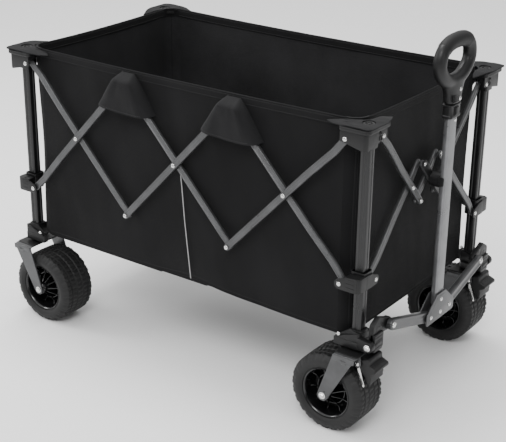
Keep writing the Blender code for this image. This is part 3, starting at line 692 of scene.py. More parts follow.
def slider():
    low, high = -0.012, 0.0258
    ring = plate([rounded(0.0156, 0.0156, 0.005), rounded(0.0117, 0.0117, 0.004)], low, high, PLASTIC)
    lip = plate([rounded(0.0166, 0.0166, 0.0055), rounded(0.0117, 0.0117, 0.004)], high - 0.006, high,
                PLASTIC)
    long_ear = mm(12, 21, -12, 19.5) + arc((PIN_X, 0), 0.0112, 95, 265, 9) + mm(-12, -11.8, 12, -11.8)
    short_ear = mm(10, 21, -10, 19) + arc((PIN_Y, 0), 0.0112, 95, 265, 9) + mm(-10, -11.8, 10, -11.8)
    web = mm(10, 11, 10, 36.5, -16.5, 36.5, -13.5, 11)
    short_web = mm(11, 10, 17.8, 10, 17.8, -15, 11, -13.5)
    corner = [(0.0, 0.012), (0.0, LONG_FACE - 0.0005)] + arc((0.0105, 0.0295), 0.0088, 90, 0,
                                                             6) + [(0.0193, 0.0)]
    parts = [ring, lip,
             plate([long_ear], 0.0348, LONG_FACE, PLASTIC, "XZ"), plate([short_ear], 0.0158, SHORT_FACE,
                                                                        PLASTIC, "YZ"),
             plate([web], low + 0.001, 0.0195, PLASTIC), plate([short_web], low + 0.001, 0.0195, PLASTIC),
             plate([corner], low + 0.001, 0.0205, PLASTIC, edge=0.0012)]
    for z in (-0.004, 0.005, 0.014):
        rib = [(-0.013, z), (0.006, z), (0.006, z + 0.0016), (-0.013, z + 0.0016)]
        parts.append(plate([rib], LONG_FACE - 0.001, LONG_FACE + 0.0007, PLASTIC, "XZ", 0.0003))
    parts += [rivet((PIN_X, LONG_FACE, 0), "Y"), rivet((SHORT_FACE, PIN_Y, 0), "X")]
    made = joined(parts)
    return moved(made, shift(0, 0, SLIDE_Z))


# ---- Forks, wheels and brakes ----
def crossing(outline, z):
    """Lowest and highest x at which a closed outline crosses a height."""
    found = []
    for (x0, z0), (x1, z1) in zip(outline, outline[1:] + outline[:1]):
        if (z0 - z) * (z1 - z) <= 0 and z0 != z1:
            found.append(x0 + (x1 - x0) * (z - z0) / (z1 - z0))
    return min(found), max(found)


def fork(front):
    """Sheet steel bent over the wheel, with its boss, axle bolts and, in front, the brake's tabs."""
    half_y, top, bend, half_x, thick = 0.0563, 0.1957, 0.006, 0.026, 0.0028
    outline = [(half_x, top), (-half_x, top)] + arc((-TRAIL, AXLE.z), 0.0125, 168, 325, 12)
    sides = [0.0772, 0.079, 0.083, 0.089, 0.1, 0.12, 0.145, 0.17, top - bend]
    shoulder = arc((half_y - bend, top - bend), bend, 15, 90, 5)
    path = [(half_y, z) for z in sides] + shoulder
    path = [(-y, z) for y, z in path] + [(y, top) for y in (-0.025, 0.0, 0.025)] + path[::-1]

    def sheet(row, col):
        y, z = path[round(row * (len(path) - 1))]
        low, high = crossing(outline, min(z, top - 0.0001))
        return low + (high - low) * col, y, z

    boss = [(0.0165, top), (0.0165, top + 0.003), (0.015, top + 0.0065), (0.005, top + 0.0065)]
    parts = [sheet_mesh(len(path), 7, sheet, STEEL, thick), turned(boss, 28, STEEL),
             turned([(0.0045, -half_y), (0.0045, half_y)], 16, ZINC, "Y", (-TRAIL, 0, AXLE.z)),
             plate([rounded(0.0275, 0.047, 0.006)], top, top + 0.0027, PLASTIC)]
    skirt = mm(-24, 185, -6, 185, -4, 180, 6, 180, 8, 185, 25, 185, 26.2, 190, 26.2, 197, -26.2, 197, -26.2,
               190)
    slot_hole = rounded(0.006, 0.002, 0.0012, 3, (0.001, 0.189))
    parts += plate_pair([skirt, slot_hole], 0.0565, 0.0588, STEEL, 0.0006)
    for side in (-1, 1):
        parts += bolt((-TRAIL, side * (half_y + thick / 2), AXLE.z), signed("Y", side), 0.008, 0.004)
    if front:
        px, pz, tab_face = BRAKE.x - SWIVEL.x, BRAKE.z, 0.0322
        tab = [(0.002, top), (0.0255, top)] + arc((px, pz), 0.0085, 0, -150, 6)
        parts += plate_pair([tab], 0.0297, tab_face, STEEL, 0.0005)
        parts += [rivet((px, side * tab_face, pz), signed("Y", side), 0.0048) for side in (-1, 1)]
    return joined(parts)


def tyre():
    """A wide tyre: rounded shoulders, four grooves round it, and slanting sipes between them."""
    around, radius, half = 240, WHEEL_RADIUS, WHEEL_HALF
    inner = 0.0588
    shoulder = [(radius - 0.0035, half - 0.0085), (radius - 0.008, half - 0.0035),
                (radius - 0.015, half - 0.0006),
                (inner + 0.01, half), (inner + 0.006, half - 0.0006), (inner + 0.0035, half - 0.0022),
                (inner, half - 0.0045)]
    count = 52
    crown = [(radius, half * 0.8 * (1 - 2 * n / count)) for n in range(count + 1)]
    side = list(reversed(shoulder))
    profile = side + crown + [(r, -y) for r, y in reversed(side)]
    grooves = (-0.027, -0.0095, 0.0095, 0.027)
    rings = []
    for step in range(around):
        angle = 2 * math.pi * step / around
        ring = []
        for r, y in profile:
            drop = 0.0
            if abs(y) < half - 0.001 and r > radius - 0.009:
                near = min(abs(y - g) for g in grooves)
                drop = 0.0034 * (1 - smoothstep(0.001, 0.0021, near))
                band = sum(y > g for g in grooves)
                slant = (y * 26 if band % 2 else -y * 26) + band * 1.7
                phase = (step + slant) % 5
                sipe = 1 - smoothstep(0.5, 1.1, min(phase, 5 - phase))
                drop = max(drop, 0.0016 * sipe)
                if abs(y) > half - 0.0125:
                    block = (step + 2 * (y > 0)) % 10
                    drop = max(drop, 0.003 * (1 - smoothstep(0.8, 1.6, min(block, 10 - block))))
            r2 = r - drop - 0.0012 * (abs(y) / half) ** 2 * (r > radius - 0.001)
            ring.append((r2 * math.cos(angle), y, r2 * math.sin(angle)))
        rings.append(ring)
    return loft(rings, TYRE, closed=True)


def rim():
    """A deep rim with ribs on both faces of its web."""
    lip = WHEEL_HALF - 0.0042
    side = [(0.0052, 0.0525), (0.0115, 0.0525), (0.0135, 0.0505), (0.015, 0.03), (0.018, 0.008),
            (0.03, 0.005), (0.0455, 0.006), (0.0505, 0.012), (0.0515, 0.03), (0.0522, lip - 0.006),
            (0.0545, lip - 0.001), (0.0562, lip), (0.0577, lip - 0.0006)]
    profile = side + [(r, -y) for r, y in reversed(side)]
    parts = [turned(profile, 72, RIM, "Y", closed=True)]
    for face in (-1, 1):
        for n in range(10):
            fin = mm(14, 4, 14, 40, 19, 36, 33, 23.5, 45, 20, 51.6, 23, 51.6, 4)
            made = plate([fin], -0.0012, 0.0012, RIM, "XY", 0.0004)
            made = moved(made, Matrix.Diagonal((1, face, 1, 1)))
            parts.append(moved(made, spin(36 * n + 18, "Y")))
        ring = [(0.033, face * 0.004), (0.033, face * 0.0215), (0.0345, face * 0.0215),
                (0.0345, face * 0.004)]
        parts.append(turned(ring, 48, RIM, "Y", closed=True))
    return joined(parts)


def brake_pedal():
    """A stepped pedal, with ridges across its lower step, and a zinc link on each side."""
    body = (mm(10.5, 183.5, 28, 188) + arc((0.0385, 0.184), 0.006, 95, -10, 5) + [(0.0455, 0.1765)]
            + arc((0.056, 0.1665), 0.0055, 65, -70, 6) + mm(48, 156, 50, 147)
            + arc((0.0445, 0.1375), 0.005, 30, -165, 6) + mm(35, 150, 14, 167))
    parts = [plate([body], -0.0275, 0.0275, PLASTIC, "XZ", 0.0022)]
    for x in (0.048, 0.051, 0.054):
        ridge = plate([rounded(0.0009, 0.0225, 0.0008, 3)], -0.001, 0.0011, PLASTIC, edge=0.0003)
        parts.append(moved(ridge, shift(x, 0, 0.1765 - 0.4 * (x - 0.0455)) @ spin(22, "Y")))
    face = 0.0287
    parts += plate_pair([mm(15.5, 169, 29, 123, 34.5, 122.5, 36.5, 127, 23, 170)], 0.027, face, ZINC, 0.0004)
    for side in (-1, 1):
        for x, z in mm(20, 164, 32.5, 127):
            parts.append(rivet((x, side * face, z), signed("Y", side), 0.0034, 0.0014))
    return joined(parts)


# ---- Handle ----
def elbow():
    y0, z0 = ELBOW.y - CORNER_Y, ELBOW.z
    outline = (mm(9.8, 208.5, 9.8, 256, 6, 262, -13.5, 273.5)
               + arc((y0, z0), 0.0145, 82, 275, 12) + mm(-26, 232.5, -26, 211.5, -20, 208.5))
    back, face = 0.0295, 0.041
    x = TILT.x - SWIVEL.x
    parts = [plate([outline], back, face, PLASTIC, "YZ", 0.0016)]
    apron = mm(9.8, 200.5, 9.8, 240, -24, 240, -26, 236, -26, 206, -20, 199.8, 8, 199.8)
    parts.append(plate([apron], 0.033, 0.0455, PLASTIC, "YZ", 0.0018))
    for z in (0.208, 0.216, 0.224, 0.232):
        slat = rounded(0.013, 0.001, 0.0008, 2, (-0.008, z))
        parts.append(plate([slat], 0.045, 0.0462, PLASTIC, "YZ", 0.0004))
    for y, z in ((-0.008, 0.248), (-0.02, 0.253), (-0.0335, 0.26)):
        boss = rounded(0.0052, 0.0052, 0.0015, 3, (y, z))
        parts.append(plate([boss], face - 0.0006, face + 0.0004, PLASTIC, "YZ", 0.0004))
    parts.append(turned(mm(0.5, -20, 8.8, -20, 9.5, -19, 9.5, 9, 8.8, 10, 0.5, 10), 24, PLASTIC, "Y",
                        (x, 0, TILT.z)))
    parts += bolt((x, 0.0276, TILT.z), "Y", 0.0074, 0.0034)
    front = ELBOW.x + 0.007 - SWIVEL.x
    parts.append(turned([(0.004, back), (0.004, front)], 12, ZINC, "X", (0, y0, z0)))
    parts.append(rivet((front, y0, z0), "X", 0.007, 0.003))
    return joined(parts)


def build_arms():
    drop, reach = ELBOW.z - HUB.z, ELBOW.y + HUB.y
    for side, name in ((-1, "right"), (1, "left")):
        made = flat_bar(math.hypot(drop, reach), 0.025, 0.0136, STEEL)
        angle = math.atan2(-drop, -side * reach)
        place = shift(ELBOW.x, side * ELBOW.y, ELBOW.z) @ Matrix.Rotation(angle, 4, "X") @ PLANES["YZ"]
        settled(moved(made, place), f"arm_{name}", f"handle_arm_{name}", "painted_steel",
                f"handle_arm_{name}")


def tube(half_x, half_y, corner, z_values, finish, middle):
    return loft([[(x, y, z) for x, y in rounded(half_x, half_y, corner, 5, middle)] for z in z_values],
                finish)


def build_handle():
    """The outer tube with hub plates, the collar with its button, the inner tube, the grip and the clip."""
    x, z_top = ELBOW.x, GRIP_LOW.z
    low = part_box("handle_base")[0].z
    half = mm(20, 243.5, 60, 208, 62, 204, 62, 185) + [(0.058, low)]
    hub = [(-y, z) for y, z in half] + half[::-1]
    inner = [(y * 0.8, 0.212 + (z - 0.212) * 0.8) for y, z in hub]
    spacer = [(-0.006, low + 0.002), (0.006, low + 0.002), (0.006, 0.24), (-0.006, 0.24)]
    # The outer tube is in the lighter steel, painted light.
    parts = [tube(0.007, 0.018, 0.0045, (0.218, z_top - 0.028), LIT_HANDLE_STEEL, (x, 0))]
    parts += plates(STEEL, ([hub], x + 0.0085, x + 0.0113, "YZ", 0.0007),
                    ([hub], x - 0.0113, x - 0.0085, "YZ", 0.0007), ([inner], x + 0.011, x + 0.0117, "YZ",
                                                                    0.0003),
                    ([spacer], x - 0.009, x + 0.009, "YZ"))
    for y, z in ((-HUB.y, HUB.z), (HUB.y, HUB.z), (0, 0.227), (0, 0.196)):
        parts += [rivet((x + 0.0115, y, z), "X", 0.0052, 0.0024),
                  rivet((x - 0.0112, y, z), "-X", 0.0052, 0.002)]
    parts.append(rivet((x + 0.007, 0.008, z_top - 0.0385), "X", 0.0042, 0.0018))
    settled(joined(parts), "handle_tube_and_hub", "handle_base", "painted_steel", "handle_base")

    levels = ((0.0305, 0.95), (0.0295, 1.0), (0.0255, 1.0), (0.0235, 0.93), (0.006, 0.93), (0.004, 1.0),
              (0.0015, 1.0), (0.0006, 0.95))
    collar = loft([[(px, py, z_top - drop) for px, py in rounded(0.012 * k, 0.0235 * k, 0.007 * k, 6, (x, 0))]
                   for drop, k in levels], PLASTIC)
    y, z = (BUTTON_LOW.y + BUTTON_HIGH.y) / 2, (BUTTON_LOW.z + BUTTON_HIGH.z) / 2
    surround = [rounded(0.0085, 0.01, 0.002, 4, (y, z)), rounded(0.0064, 0.0084, 0.0012, 4, (y, z))]
    settled(joined([collar, plate(surround, x + 0.0105, x + 0.0128, PLASTIC, "YZ", 0.0005)]),
            "handle_collar", "handle_base", "black_plastic")

    face = BUTTON_HIGH.x
    cap = rounded(0.0059, 0.0079, 0.0012, 4, (y, z))
    ridges = [([rounded(0.0042, 0.0006, 0.0005, 2, (y, z + dz))], face - 0.0005, face + 0.0004, "YZ", 0.0002)
              for dz in (-0.004, -0.0013, 0.0013, 0.004)]
    settled(joined(plates(PLASTIC, ([cap], BUTTON_LOW.x, face, "YZ", 0.0007), *ridges)),
            "handle_button", "lock_button", "black_plastic", "lock_button")

    inner_tube = tube((TUBE_HIGH.x - TUBE_LOW.x) / 2, TUBE_HIGH.y, 0.0036, (TUBE_LOW.z, TUBE_HIGH.z), STEEL,
                      (x, 0))
    settled(inner_tube, "handle_telescope", "handle_slide", "painted_steel", "handle_inner_tube")
    build_grip(x)
    build_clip(x)


def loop_path():
    """The middle line of the D-shaped grip, in y and z: a superellipse, narrower towards the neck."""
    points = []
    for t in circle(72):
        y = GRIP_HALF_Y * signed_power(math.cos(t), 0.78)
        z = GRIP_HALF_Z * signed_power(math.sin(t), 0.78)
        if z < 0:
            y *= 1 - 0.3 * (-z / GRIP_HALF_Z) ** 1.5
        points.append((y, GRIP_Z + z))
    return points


def ring_round(path, n, half_x, half_in):
    """An oval ring of points square to the path at its point n."""
    (y0, z0), (y1, z1) = path[n - 1], path[(n + 1) % len(path)]
    along = Vector((y1 - y0, z1 - z0)).normalized()
    y, z = path[n]
    return [(half_x * math.cos(t), y - along.y * half_in * math.sin(t), z + along.x * half_in * math.sin(t))
            for t in circle(20)]


def build_grip(x):
    """A loop of plastic run together with its neck, a rubber pad over its top, and ribs on the neck."""
    path = loop_path()
    loop = loft([ring_round(path, n, 0.0142, 0.0162) for n in range(len(path))], PLASTIC, closed=True)
    levels = ((0.679, 0.0235, 0.0128), (0.685, 0.0255, 0.0142), (0.698, 0.0285, 0.0145),
              (0.71, 0.034, 0.0145),
              (0.721, 0.041, 0.0142), (0.73, 0.044, 0.0132), (0.735, 0.038, 0.011))
    neck = [[(half_x * signed_power(math.cos(t), 0.8), half_y * signed_power(math.sin(t), 0.8), z)
             for t in circle(28)] for z, half_y, half_x in levels]
    made = joined([loop, loft(neck, PLASTIC)])
    remesh = made.modifiers.new("Blend", "REMESH")
    remesh.mode = "VOXEL"
    remesh.voxel_size = 0.0016
    relax = made.modifiers.new("Relax", "SMOOTH")
    relax.factor = 0.5
    relax.iterations = 14
    made = baked(made)
    made.data.materials.clear()
    made.data.materials.append(PLASTIC)
    pad_path = path[7:30]
    last = len(pad_path) - 2
    pad = loft([ring_round(pad_path, n, *((0.0128, 0.0144) if n in (1, last) else (0.0147, 0.0167)))
                for n in range(1, last + 1)], RUBBER)
    rivets = [rivet((0.0142, 0.0085, z), "X", 0.0046, 0.0016) for z in (0.688, 0.708)]
    ribs = [plate([rounded(0.015, 0.0006, 0.0005, 2, (-0.01, 0.6845 + 0.0034 * n))], 0.012, 0.0148, PLASTIC,
                  "YZ", 0.0003) for n in range(5)]
    made = moved(joined([made, pad] + rivets + ribs), shift(x, 0, 0))
    settled(made, "grip", "handle_slide", "black_plastic", "handle_grip", angle=60)


def build_clip(x):
    """The saddle that the handle rests in, on the front's middle bar, and the strap on the tube."""
    start, end = (-SHORT_SPAN, MID_Z + SHORT_RISE), (SHORT_SPAN, MID_Z - SHORT_RISE)
    length = math.dist(start, end)
    angle = math.atan2(end[1] - start[1], end[0] - start[0])
    face = MID_X + SHORT_INNER_X + LAYER_STEP + BAR_THICK / 2
    reach = x - 0.0085 - face                                # from the bar to the tube
    cover = rounded((length + 0.018) / 2, 0.0092, 0.009, 5, (length / 2, 0))
    saddle = [(0.0175, 0.001), (0.0175, reach - 0.001), (0.0165, reach), (0.0005, reach)]
    parts = [plate([cover], 0.0, 0.003, PLASTIC, edge=0.0009),
             turned(saddle, 28, PLASTIC, "Z", (length / 2, 0, 0))]
    parts += [rivet((along, 0, 0.003), "Z", 0.0046, 0.0018) for along in (0, length)]
    place = shift(face, *start) @ Matrix.Rotation(angle, 4, "X") @ PLANES["YZ"]
    settled(moved(joined(parts), place), "handle_rest", "scissor_front_2_down", "black_plastic")
    jaw = [(px + x, pz) for px, pz in mm(-7, 496, 3.5, 497.5, 5, 500, 5, 513, 3.5, 515.5, -7, 517)]
    back = plate([mm(-20.5, 496, 20.5, 496, 20.5, 517, -20.5, 517)], x - 0.0079, x - 0.0066, PLASTIC, "YZ",
                 0.0004)
    strap = plate_pair([jaw], 0.0176, 0.0208, PLASTIC, 0.0007) + [back]
    settled(joined(strap), "handle_strap", "handle_base", "black_plastic")


def build_corners():
    """Every corner's pieces, made once and mirrored. The forks and feet differ between front and rear."""
    feet, forks = {True: foot(True), False: foot(False)}, {True: fork(True), False: fork(False)}
    post, bracket, slide = post_tube(), top_bracket(), slider()
    bend, pedal, wheel, hub = elbow(), brake_pedal(), tyre(), rim()
    for corner, (sx, sy) in CORNERS.items():
        front = sx > 0
        at = shift(MID_X + sx * CORNER_X, sy * CORNER_Y, 0) @ Matrix.Diagonal((sx, sy, 1, 1))
        axle = shift(MID_X + sx * (CORNER_X - TRAIL), sy * CORNER_Y, AXLE.z) @ spin(WHEEL_TURNS[corner], "Y")
        body = f"corner_{corner}"
        rows = [(post, "post_tube", body, "painted_steel", "post", 35),
                (feet[front], "foot", body, "black_plastic", "", 35),
                (bracket, "bracket", body, "black_plastic", "top_bracket", 35),
                (slide, "slide", f"slider_{corner}", "black_plastic", "slider", 35),
                (forks[front], "wheel_fork", f"caster_{corner}" if front else body, "painted_steel", "fork",
                 35),
                (wheel, "tyre_shell", f"wheel_{corner}", "wheel_rubber", "tyre", 40),
                (hub, "rim_shell", f"wheel_{corner}", "rim_plastic", "rim", 50)]
        if front:
            rows += [(bend, "elbow", f"handle_elbow_{corner}", "black_plastic", "handle_elbow", 35),
                     (pedal, "pedal", f"brake_pedal_{corner}", "black_plastic", "brake_pedal", 35)]
        for source, name, rides, slot, node, angle in rows:
            settled(moved(copied(source), axle if source in (wheel, hub) else at), f"{name}_{corner}", rides,
                    slot,
                    *([f"{node}_{corner}"] if node else []), angle=angle)
    for source in (*feet.values(), *forks.values(), post, bracket, slide, bend, pedal, wheel, hub):
        bpy.data.objects.remove(source, do_unlink=True)


# ---- Basket ----
FOLDED = math.cos(math.radians(72.0)) / math.cos(math.atan2((TOP_Z - SLIDE_Z) / 2, SPAN))
PANEL_X, PANEL_Y = BASKET_X - CORNER_ROUND, BASKET_Y - CORNER_ROUND


def keep_share(panel, pivot):
    """How much of a panel's length is left when the corners have come together."""
    return (panel - pivot * (1 - FOLDED)) / panel


def rim_height(share):
    """The rim hangs a little between its corners; share runs from -1 to 1."""
    return RIM_Z - 0.0035 * (1 - share * share)


def foot_height(side, share):
    """The lower edge: it sags between the corners, and on the right side the cord lifts its middle."""
    height = BASE_Z - 0.001 * (1 - share * share)
    if side == "right":
        height += 0.0085 * math.exp(-((share - 0.07) / 0.16) ** 2) - 0.007 * smoothstep(0.1, 1.0, share)
    return height


def cloth_offset(side, along, share, rise):
    """How far the cloth stands out from its plane: a belly, and folds that run from the corners."""
    seed = {"right": 0.0, "left": 3.1, "front": 6.7, "rear": 9.9}[side]
    belly = 0.0022 * math.sin(math.pi * rise) * (1 - share ** 4)
    wave = noise.noise(Vector((along * 7, rise * 2.2, seed))) * 0.003
    pull = noise.noise(Vector(((along + rise * 0.1) * 26, rise * 3.0, seed + 5))) * 0.0011
    corner = abs(share) ** 3 * math.sin(rise * 9 + share * 4 + seed) * 0.0012
    edge = smoothstep(0, 0.06, rise) * smoothstep(0, 0.05, 1 - rise)
    return -0.0022 + (belly + wave + pull + corner) * (0.3 + 0.7 * edge)


def panel_point(side, share, rise):
    """A point of a panel: share runs along it from -1 to 1, rise up it from 0 to 1."""
    is_long, sign, _ = facing(side)
    half = PANEL_X if is_long else PANEL_Y
    along = share * half
    low, high = foot_height(side, share), rim_height(share)
    z = low + (high - low) * rise
    out = (BASKET_Y if is_long else BASKET_X) + cloth_offset(side, along, share, rise) * (1 - share ** 12)
    out -= 0.0022 * share ** 12
    if is_long:
        return Vector((MID_X + along, sign * out, z))
    return Vector((MID_X + sign * out, along, z))


STITCH_FACES = ((0, 3, 2, 1), (4, 5, 6, 7), (0, 1, 5, 4), (1, 2, 6, 5), (2, 3, 7, 6), (3, 0, 4, 7))


def stitches(points, normal, pitch=0.0044, size=0.0026):
    """Dashes of thread laid along a line of points, each a small bar that narrows towards its top."""
    mesh = bpy.data.meshes.new("stitches")
    corners, faces = [], []
    run = 0.0
    lift = Vector(normal) * 0.00035
    for start, end in zip(points, points[1:]):
        along = end - start
        length = along.length
        along.normalize()
        across = along.cross(normal).normalized() * 0.00045
        while run < length:
            middle, base = start + along * run, len(corners)
            first, last = middle - along * size / 2, middle + along * size / 2
            for wide, rise in ((across, -lift), (across * 0.5, lift)):
                corners += [first - wide + rise, first + wide + rise, last + wide + rise, last - wide + rise]
            faces += [tuple(base + n for n in face) for face in STITCH_FACES]
            run += pitch
        run -= length
    mesh.from_pydata([tuple(c) for c in corners], [], faces)
    made = made_object("stitches", mesh)
    made.data.materials.append(THREAD)
    return made


def hem_band(side, steps):
    """The folded hem along the rim, with its two rows of stitching."""
    outward = facing(side)[2]
    rim_line = [panel_point(side, 2 * n / steps - 1, 1.0) for n in range(steps + 1)]
    section = ((-0.0022, HEM), (-0.0026, 0.004), (-0.002, 0.0006), (0.0, -0.0008), (0.002, 0.0006),
               (0.0026, 0.004), (0.0022, HEM - 0.001), (0.001, HEM))
    parts = [loft([[top + outward * out - Vector((0, 0, down)) for out, down in section] for top in rim_line],
                  BINDING)]
    for down in (0.0045, HEM - 0.003):
        for face in (1, -1):
            line = [top + outward * face * 0.00262 - Vector((0, 0, down)) for top in rim_line]
            parts.append(stitches(line, outward * face))
    return parts


def pocket(side, middle):
    """A cloth pocket over the top joint of two bars, open below."""
    sign = 1 if side == "left" else -1
    depth = LONG_INNER_Y + LAYER_STEP + BAR_THICK / 2 + RIVET_RISE + 0.0022 - BASKET_Y

    def point(row, col):
        s = 2 * col - 1
        width = 0.017 + 0.06 * row ** 0.92
        sag = 0.005 * (1 - s * s) * row
        z = RIM_Z - 0.0095 - 0.082 * row - sag - 0.003 * s * row
        lift = smoothstep(-0.05, 0.2, row) * (1 - abs(s) ** 11) ** 0.5
        crease = 0.0016 * noise.noise(Vector((s * 2.5, row * 3, middle * 9 + sign)))
        ridge = 0.0022 * (1 - abs(abs(s) - 0.62) * 3) if abs(abs(s) - 0.62) < 0.33 else 0.0
        out = BASKET_Y - 0.001 + (depth + crease + ridge * row) * lift
        return MID_X + middle + s * width, sign * out, z

    made = sheet_mesh(26, 44, point, POCKET, 0.0016)
    hem = [Vector(point(0.955, c / 43)) + Vector((0, sign * 0.001, 0)) for c in range(4, 40)]
    return [made, stitches(hem, Vector((0, sign, 0)))]


def lined(made, outward):
    """The cloth's inner face takes the lining, a little greyer than the outer face. This is partly the
    lining's own tone and partly painted light against the shade inside the basket.
    """
    made.data.materials.append(LINING_AND_PAINTED_LIGHT)
    for face in made.data.polygons:
        if face.normal.dot(outward) < -0.3:
            face.material_index = 1
    return made


def panel(side, cols):
    """One side of the basket: its cloth, hem and pockets, and piping along its foot with stitches."""
    is_long, _, outward = facing(side)
    parts = [lined(sheet_mesh(46, cols, lambda row, col: panel_point(side, 2 * col - 1, row), WALL), outward)]
    parts += hem_band(side, cols)
    for middle in (-SPAN, SPAN) if is_long else ():
        parts += pocket(side, middle)
    base = [panel_point(side, 2 * n / cols - 1, 0.0) for n in range(cols + 1)]
    parts.append(loft([[p + outward * PIPING * math.cos(t) + Vector((0, 0, PIPING * math.sin(t)))
                        for t in circle(8)] for p in base], BINDING))
    parts.append(stitches([p + outward * 0.0013 + Vector((0, 0, 0.007)) for p in base], outward))
    return joined(parts)


def corner_cloth(sx, sy):
    """The rounded corner of the basket, drawn in a little at half height, with its seam."""
    long_side, short_side = ("left" if sy > 0 else "right"), ("front" if sx > 0 else "rear")
    centre = Vector((MID_X + sx * PANEL_X, sy * PANEL_Y, 0))
    outward, along = Vector((sx, sy, 0)).normalized(), Vector((sx, -sy, 0))

    def point(rise, turn, grow=0.0):
        start, end = panel_point(long_side, sx, rise), panel_point(short_side, sy, rise)
        angle = math.radians(90 * turn)
        radius_y, radius_x = abs(start.y - centre.y), abs(end.x - centre.x)
        drawn = 1 - 0.16 * math.sin(math.pi * rise) ** 2 * math.sin(math.pi * turn)
        z = start.z + (end.z - start.z) * turn
        return Vector((centre.x + sx * (radius_x * drawn + grow) * math.sin(angle),
                       centre.y + sy * (radius_y * drawn + grow) * math.cos(angle), z))

    parts = [lined(sheet_mesh(46, 14, point, WALL), outward)]
    low, high = 1 - HEM / (RIM_Z - BASE_Z), 1.0017
    for grow in (0.0012, -0.0012):
        parts.append(sheet_mesh(5, 14, lambda row, turn: point(low + (high - low) * row, turn, grow), BINDING,
                                0.0026))
    seam = [point(n / 60, 0.5, 0.0012) for n in range(3, 58)]
    for aside in (-0.002, 0.002):
        parts.append(stitches([p + along * aside for p in seam], outward))
    cord = 0.0018
    parts.append(loft([[point(n / 60, 0.5, 0.0004) + outward * cord * math.cos(t)
                        + along.normalized() * cord * math.sin(t) for t in circle(8)] for n in range(61)],
                      BINDING))
    return joined(parts)


def corner_flap():
    """The cloth flap buttoned over a bracket's cap: its ends run on along the two rims."""
    top = CAP_Z + 0.0032
    outline = (mm(-86, 18, -64, 31, -40, 41.5) + arc((0.017, 0.031), 0.0135, 90, 0, 6)
               + mm(31, -20, 23, -48, 8, -78, -2, -56, -8, -18, -18, -8, -52, 2, -74, 8))
    hole = arc((0, 0), 0.0135, 0, 345, 23)
    made = plate([outline, hole], top - 0.001, top + 0.001, POCKET, edge=0.0005)
    cut = made.modifiers.new("Divide", "SUBSURF")
    cut.subdivision_type = "SIMPLE"
    cut.levels = cut.render_levels = 2
    made = baked(made)
    for vertex in made.data.vertices:
        away = max(0.0, math.hypot(vertex.co.x, vertex.co.y) - 0.04)
        vertex.co.z += 0.001 * noise.noise(vertex.co * 60) - 0.006 * smoothstep(0, 0.04, away)
    made.data.materials.clear()
    made.data.materials.append(POCKET)
    return made


def build_basket():
    homes = {"right": "corner_rear_right", "left": "corner_rear_left",
             "rear": "corner_rear_right", "front": "corner_front_right"}
    first = True
    for side, body in homes.items():
        is_long = side in ("right", "left")
        made = panel(side, 120 if is_long else 66)
        nodes = ("basket",) if first else ()
        first = False
        settled(made, f"basket_{side}_wall", body, "basket_fabric", *nodes)
        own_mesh(made)
    flap = corner_flap()
    for corner, (sx, sy) in CORNERS.items():
        body = f"corner_{corner}"
        cloth = settled(corner_cloth(sx, sy), f"basket_corner_{corner}", body, "basket_fabric")
        at = shift(MID_X + sx * CORNER_X, sy * CORNER_Y, 0) @ Matrix.Diagonal((sx, sy, 1, 1))
        leaf = settled(moved(copied(flap), at), f"corner_flap_{corner}", body, "basket_fabric")
    bpy.data.objects.remove(flap, do_unlink=True)
    build_floor()
    build_cord()


def build_floor():
    """The floor in four sheets, each riding on a corner: as the wagon folds, the end pieces slide over each
    other.
    """
    edge_x, edge_y = BASKET_X - 0.003, BASKET_Y - 0.003
    folded = 2 * PANEL_X * keep_share(PANEL_X, LONG_X)
    reach = CORNER_ROUND + folded - 0.006
    between = (-edge_x + reach - 0.004, edge_x - reach + 0.004)
    pieces = (
        ("rear", (-edge_x, -edge_x + reach), (-1, 1), "corner_rear_right", 0.0),
        ("middle_right", between, (-1, 0), "corner_rear_right", 0.0024),
        ("front", (edge_x - reach, edge_x), (-1, 1), "corner_front_right", 0.0048),
        ("middle_left", between, (0, 1), "corner_rear_left", 0.0072),
    )
    for name, (low, high), (near, far), body, lift in pieces:
        def point(row, col):
            x = low + (high - low) * row
            inset = 0.0
            end = edge_x - abs(x)
            if end < CORNER_ROUND:
                inset = CORNER_ROUND - math.sqrt(max(0.0, CORNER_ROUND ** 2 - (CORNER_ROUND - end) ** 2))
            y = (near + (far - near) * col) * (edge_y - inset)
            wave = 0.0016 * noise.noise(Vector((0, y * 9, 2)))
            return MID_X + x, y, 0.2205 + lift + wave

        made = settled(sheet_mesh(36, 44, point, FLOOR, 0.0018), f"basket_floor_{name}", body,
                       "basket_fabric")
        if far - near == 2:
            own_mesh(made)
        else:
            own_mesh(made)


def build_cord():
    """The thin cord that holds up the middle of the right side's lower edge."""
    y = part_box("support_cord")[0].y + 0.0012
    route = mm(0, 499, 6, 440, 12, 370, 20, 300, 28, 232)
    points = [Vector((MID_X + x, y, z)) for x, z in route]
    rings = []
    for n, point in enumerate(points):
        for share in ((0.0, 0.25, 0.5, 0.75) if n < len(points) - 1 else (0.0,)):
            middle = point.lerp(points[min(n + 1, len(points) - 1)], share)
            rings.append([middle + Vector((0.0012 * math.cos(t), 0.0012 * math.sin(t), 0))
                          for t in circle(10)])
    made = settled(loft(rings, BRAID), "support_string", "corner_rear_right", "cord", "support_cord")
    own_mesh(made)


# ---- Camera, light and floor ----
def build_camera():
    """The camera stands in front, on the wagon's right, and looks down on it."""
    data = bpy.data.cameras.new("camera")
    data.lens, data.sensor_width = 87.0, 36.0
    data.shift_x, data.shift_y = 0.0007, 0.0058
    camera = made_object("camera", data)
    yaw, pitch, roll = math.radians(35.811), math.radians(22.968), math.radians(0.685)
    ahead = Vector((-math.sin(yaw) * math.cos(pitch), math.cos(yaw) * math.cos(pitch), -math.sin(pitch)))
    right = Vector((math.cos(yaw), math.sin(yaw), 0))
    up = right.cross(ahead)
    right, up = (right * math.cos(roll) + up * math.sin(roll), up * math.cos(roll) - right * math.sin(roll))
    camera.matrix_world = shift(MID_X + 1.6095, -2.2162, 1.4318) @ Matrix(
        (right, up, -ahead)).transposed().to_4x4()
    bpy.context.scene.camera = camera


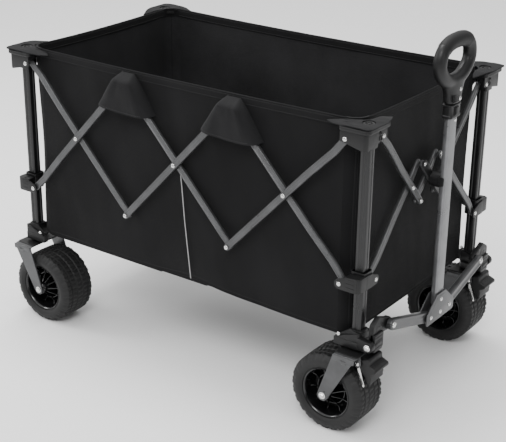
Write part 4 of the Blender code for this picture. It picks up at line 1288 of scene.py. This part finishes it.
def area_light(name, place, target, size, power):
    data = bpy.data.lights.new(name, "AREA")
    data.shape = "DISK"
    data.size, data.energy = size, power
    lamp = made_object(name, data)
    lamp.location = place
    lamp.rotation_mode = "QUATERNION"
    lamp.rotation_quaternion = (Vector(target) - Vector(place)).to_track_quat("-Z", "Y")


def build_studio():
    world = bpy.data.worlds.new("studio")
    bpy.context.scene.world = world
    world.use_nodes = True
    nodes, links = world.node_tree.nodes, world.node_tree.links
    split = nodes.new("ShaderNodeSeparateXYZ")
    links.new(nodes.new("ShaderNodeTexCoord").outputs["Generated"], split.inputs["Vector"])
    dome = nodes.new("ShaderNodeMapRange")                   # dim at the horizon, bright overhead
    dome.interpolation_type = "SMOOTHSTEP"
    for name, number in (("From Min", -0.05), ("From Max", 0.75), ("To Min", 0.3), ("To Max", 1.75)):
        dome.inputs[name].default_value = number
    links.new(split.outputs["Z"], dome.inputs["Value"])
    ahead = nodes.new("ShaderNodeMapRange")                  # and dimmer in front of the wagon
    for name, number in (("From Min", -0.1), ("From Max", 0.8), ("To Min", 1.0), ("To Max", 0.35)):
        ahead.inputs[name].default_value = number
    links.new(split.outputs["X"], ahead.inputs["Value"])
    both = nodes.new("ShaderNodeMath")
    both.operation = "MULTIPLY"
    links.new(dome.outputs["Result"], both.inputs[0])
    links.new(ahead.outputs["Result"], both.inputs[1])
    links.new(both.outputs["Value"], nodes["Background"].inputs["Strength"])
    nodes["Background"].inputs["Color"].default_value = (1, 1, 1, 1)
    for lamp in (
        ("key", (1.2, -2.4, 3.0), (0, 0, 0.4), 1.6, 70),
        ("side", (-3.0, -1.2, 1.8), (0, 0, 0.4), 1.2, 40),
        ("front", (3.2, -0.4, 1.3), (0, 0, 0.4), 0.8, 12),
        ("top", (-0.5, 0.2, 3.4), (-0.1, 0.2, 0.4), 1.4, 70),
    ):
        area_light(*lamp)
    floor = plate([[(-9, -9), (9, -9), (9, 9), (-9, 9)]], -0.02, 0.0, pale_floor(), edge=0.001)
    floor.name = "studio_floor"


build_camera()
build_bars()
build_corners()
build_arms()
build_handle()
build_basket()
build_studio()
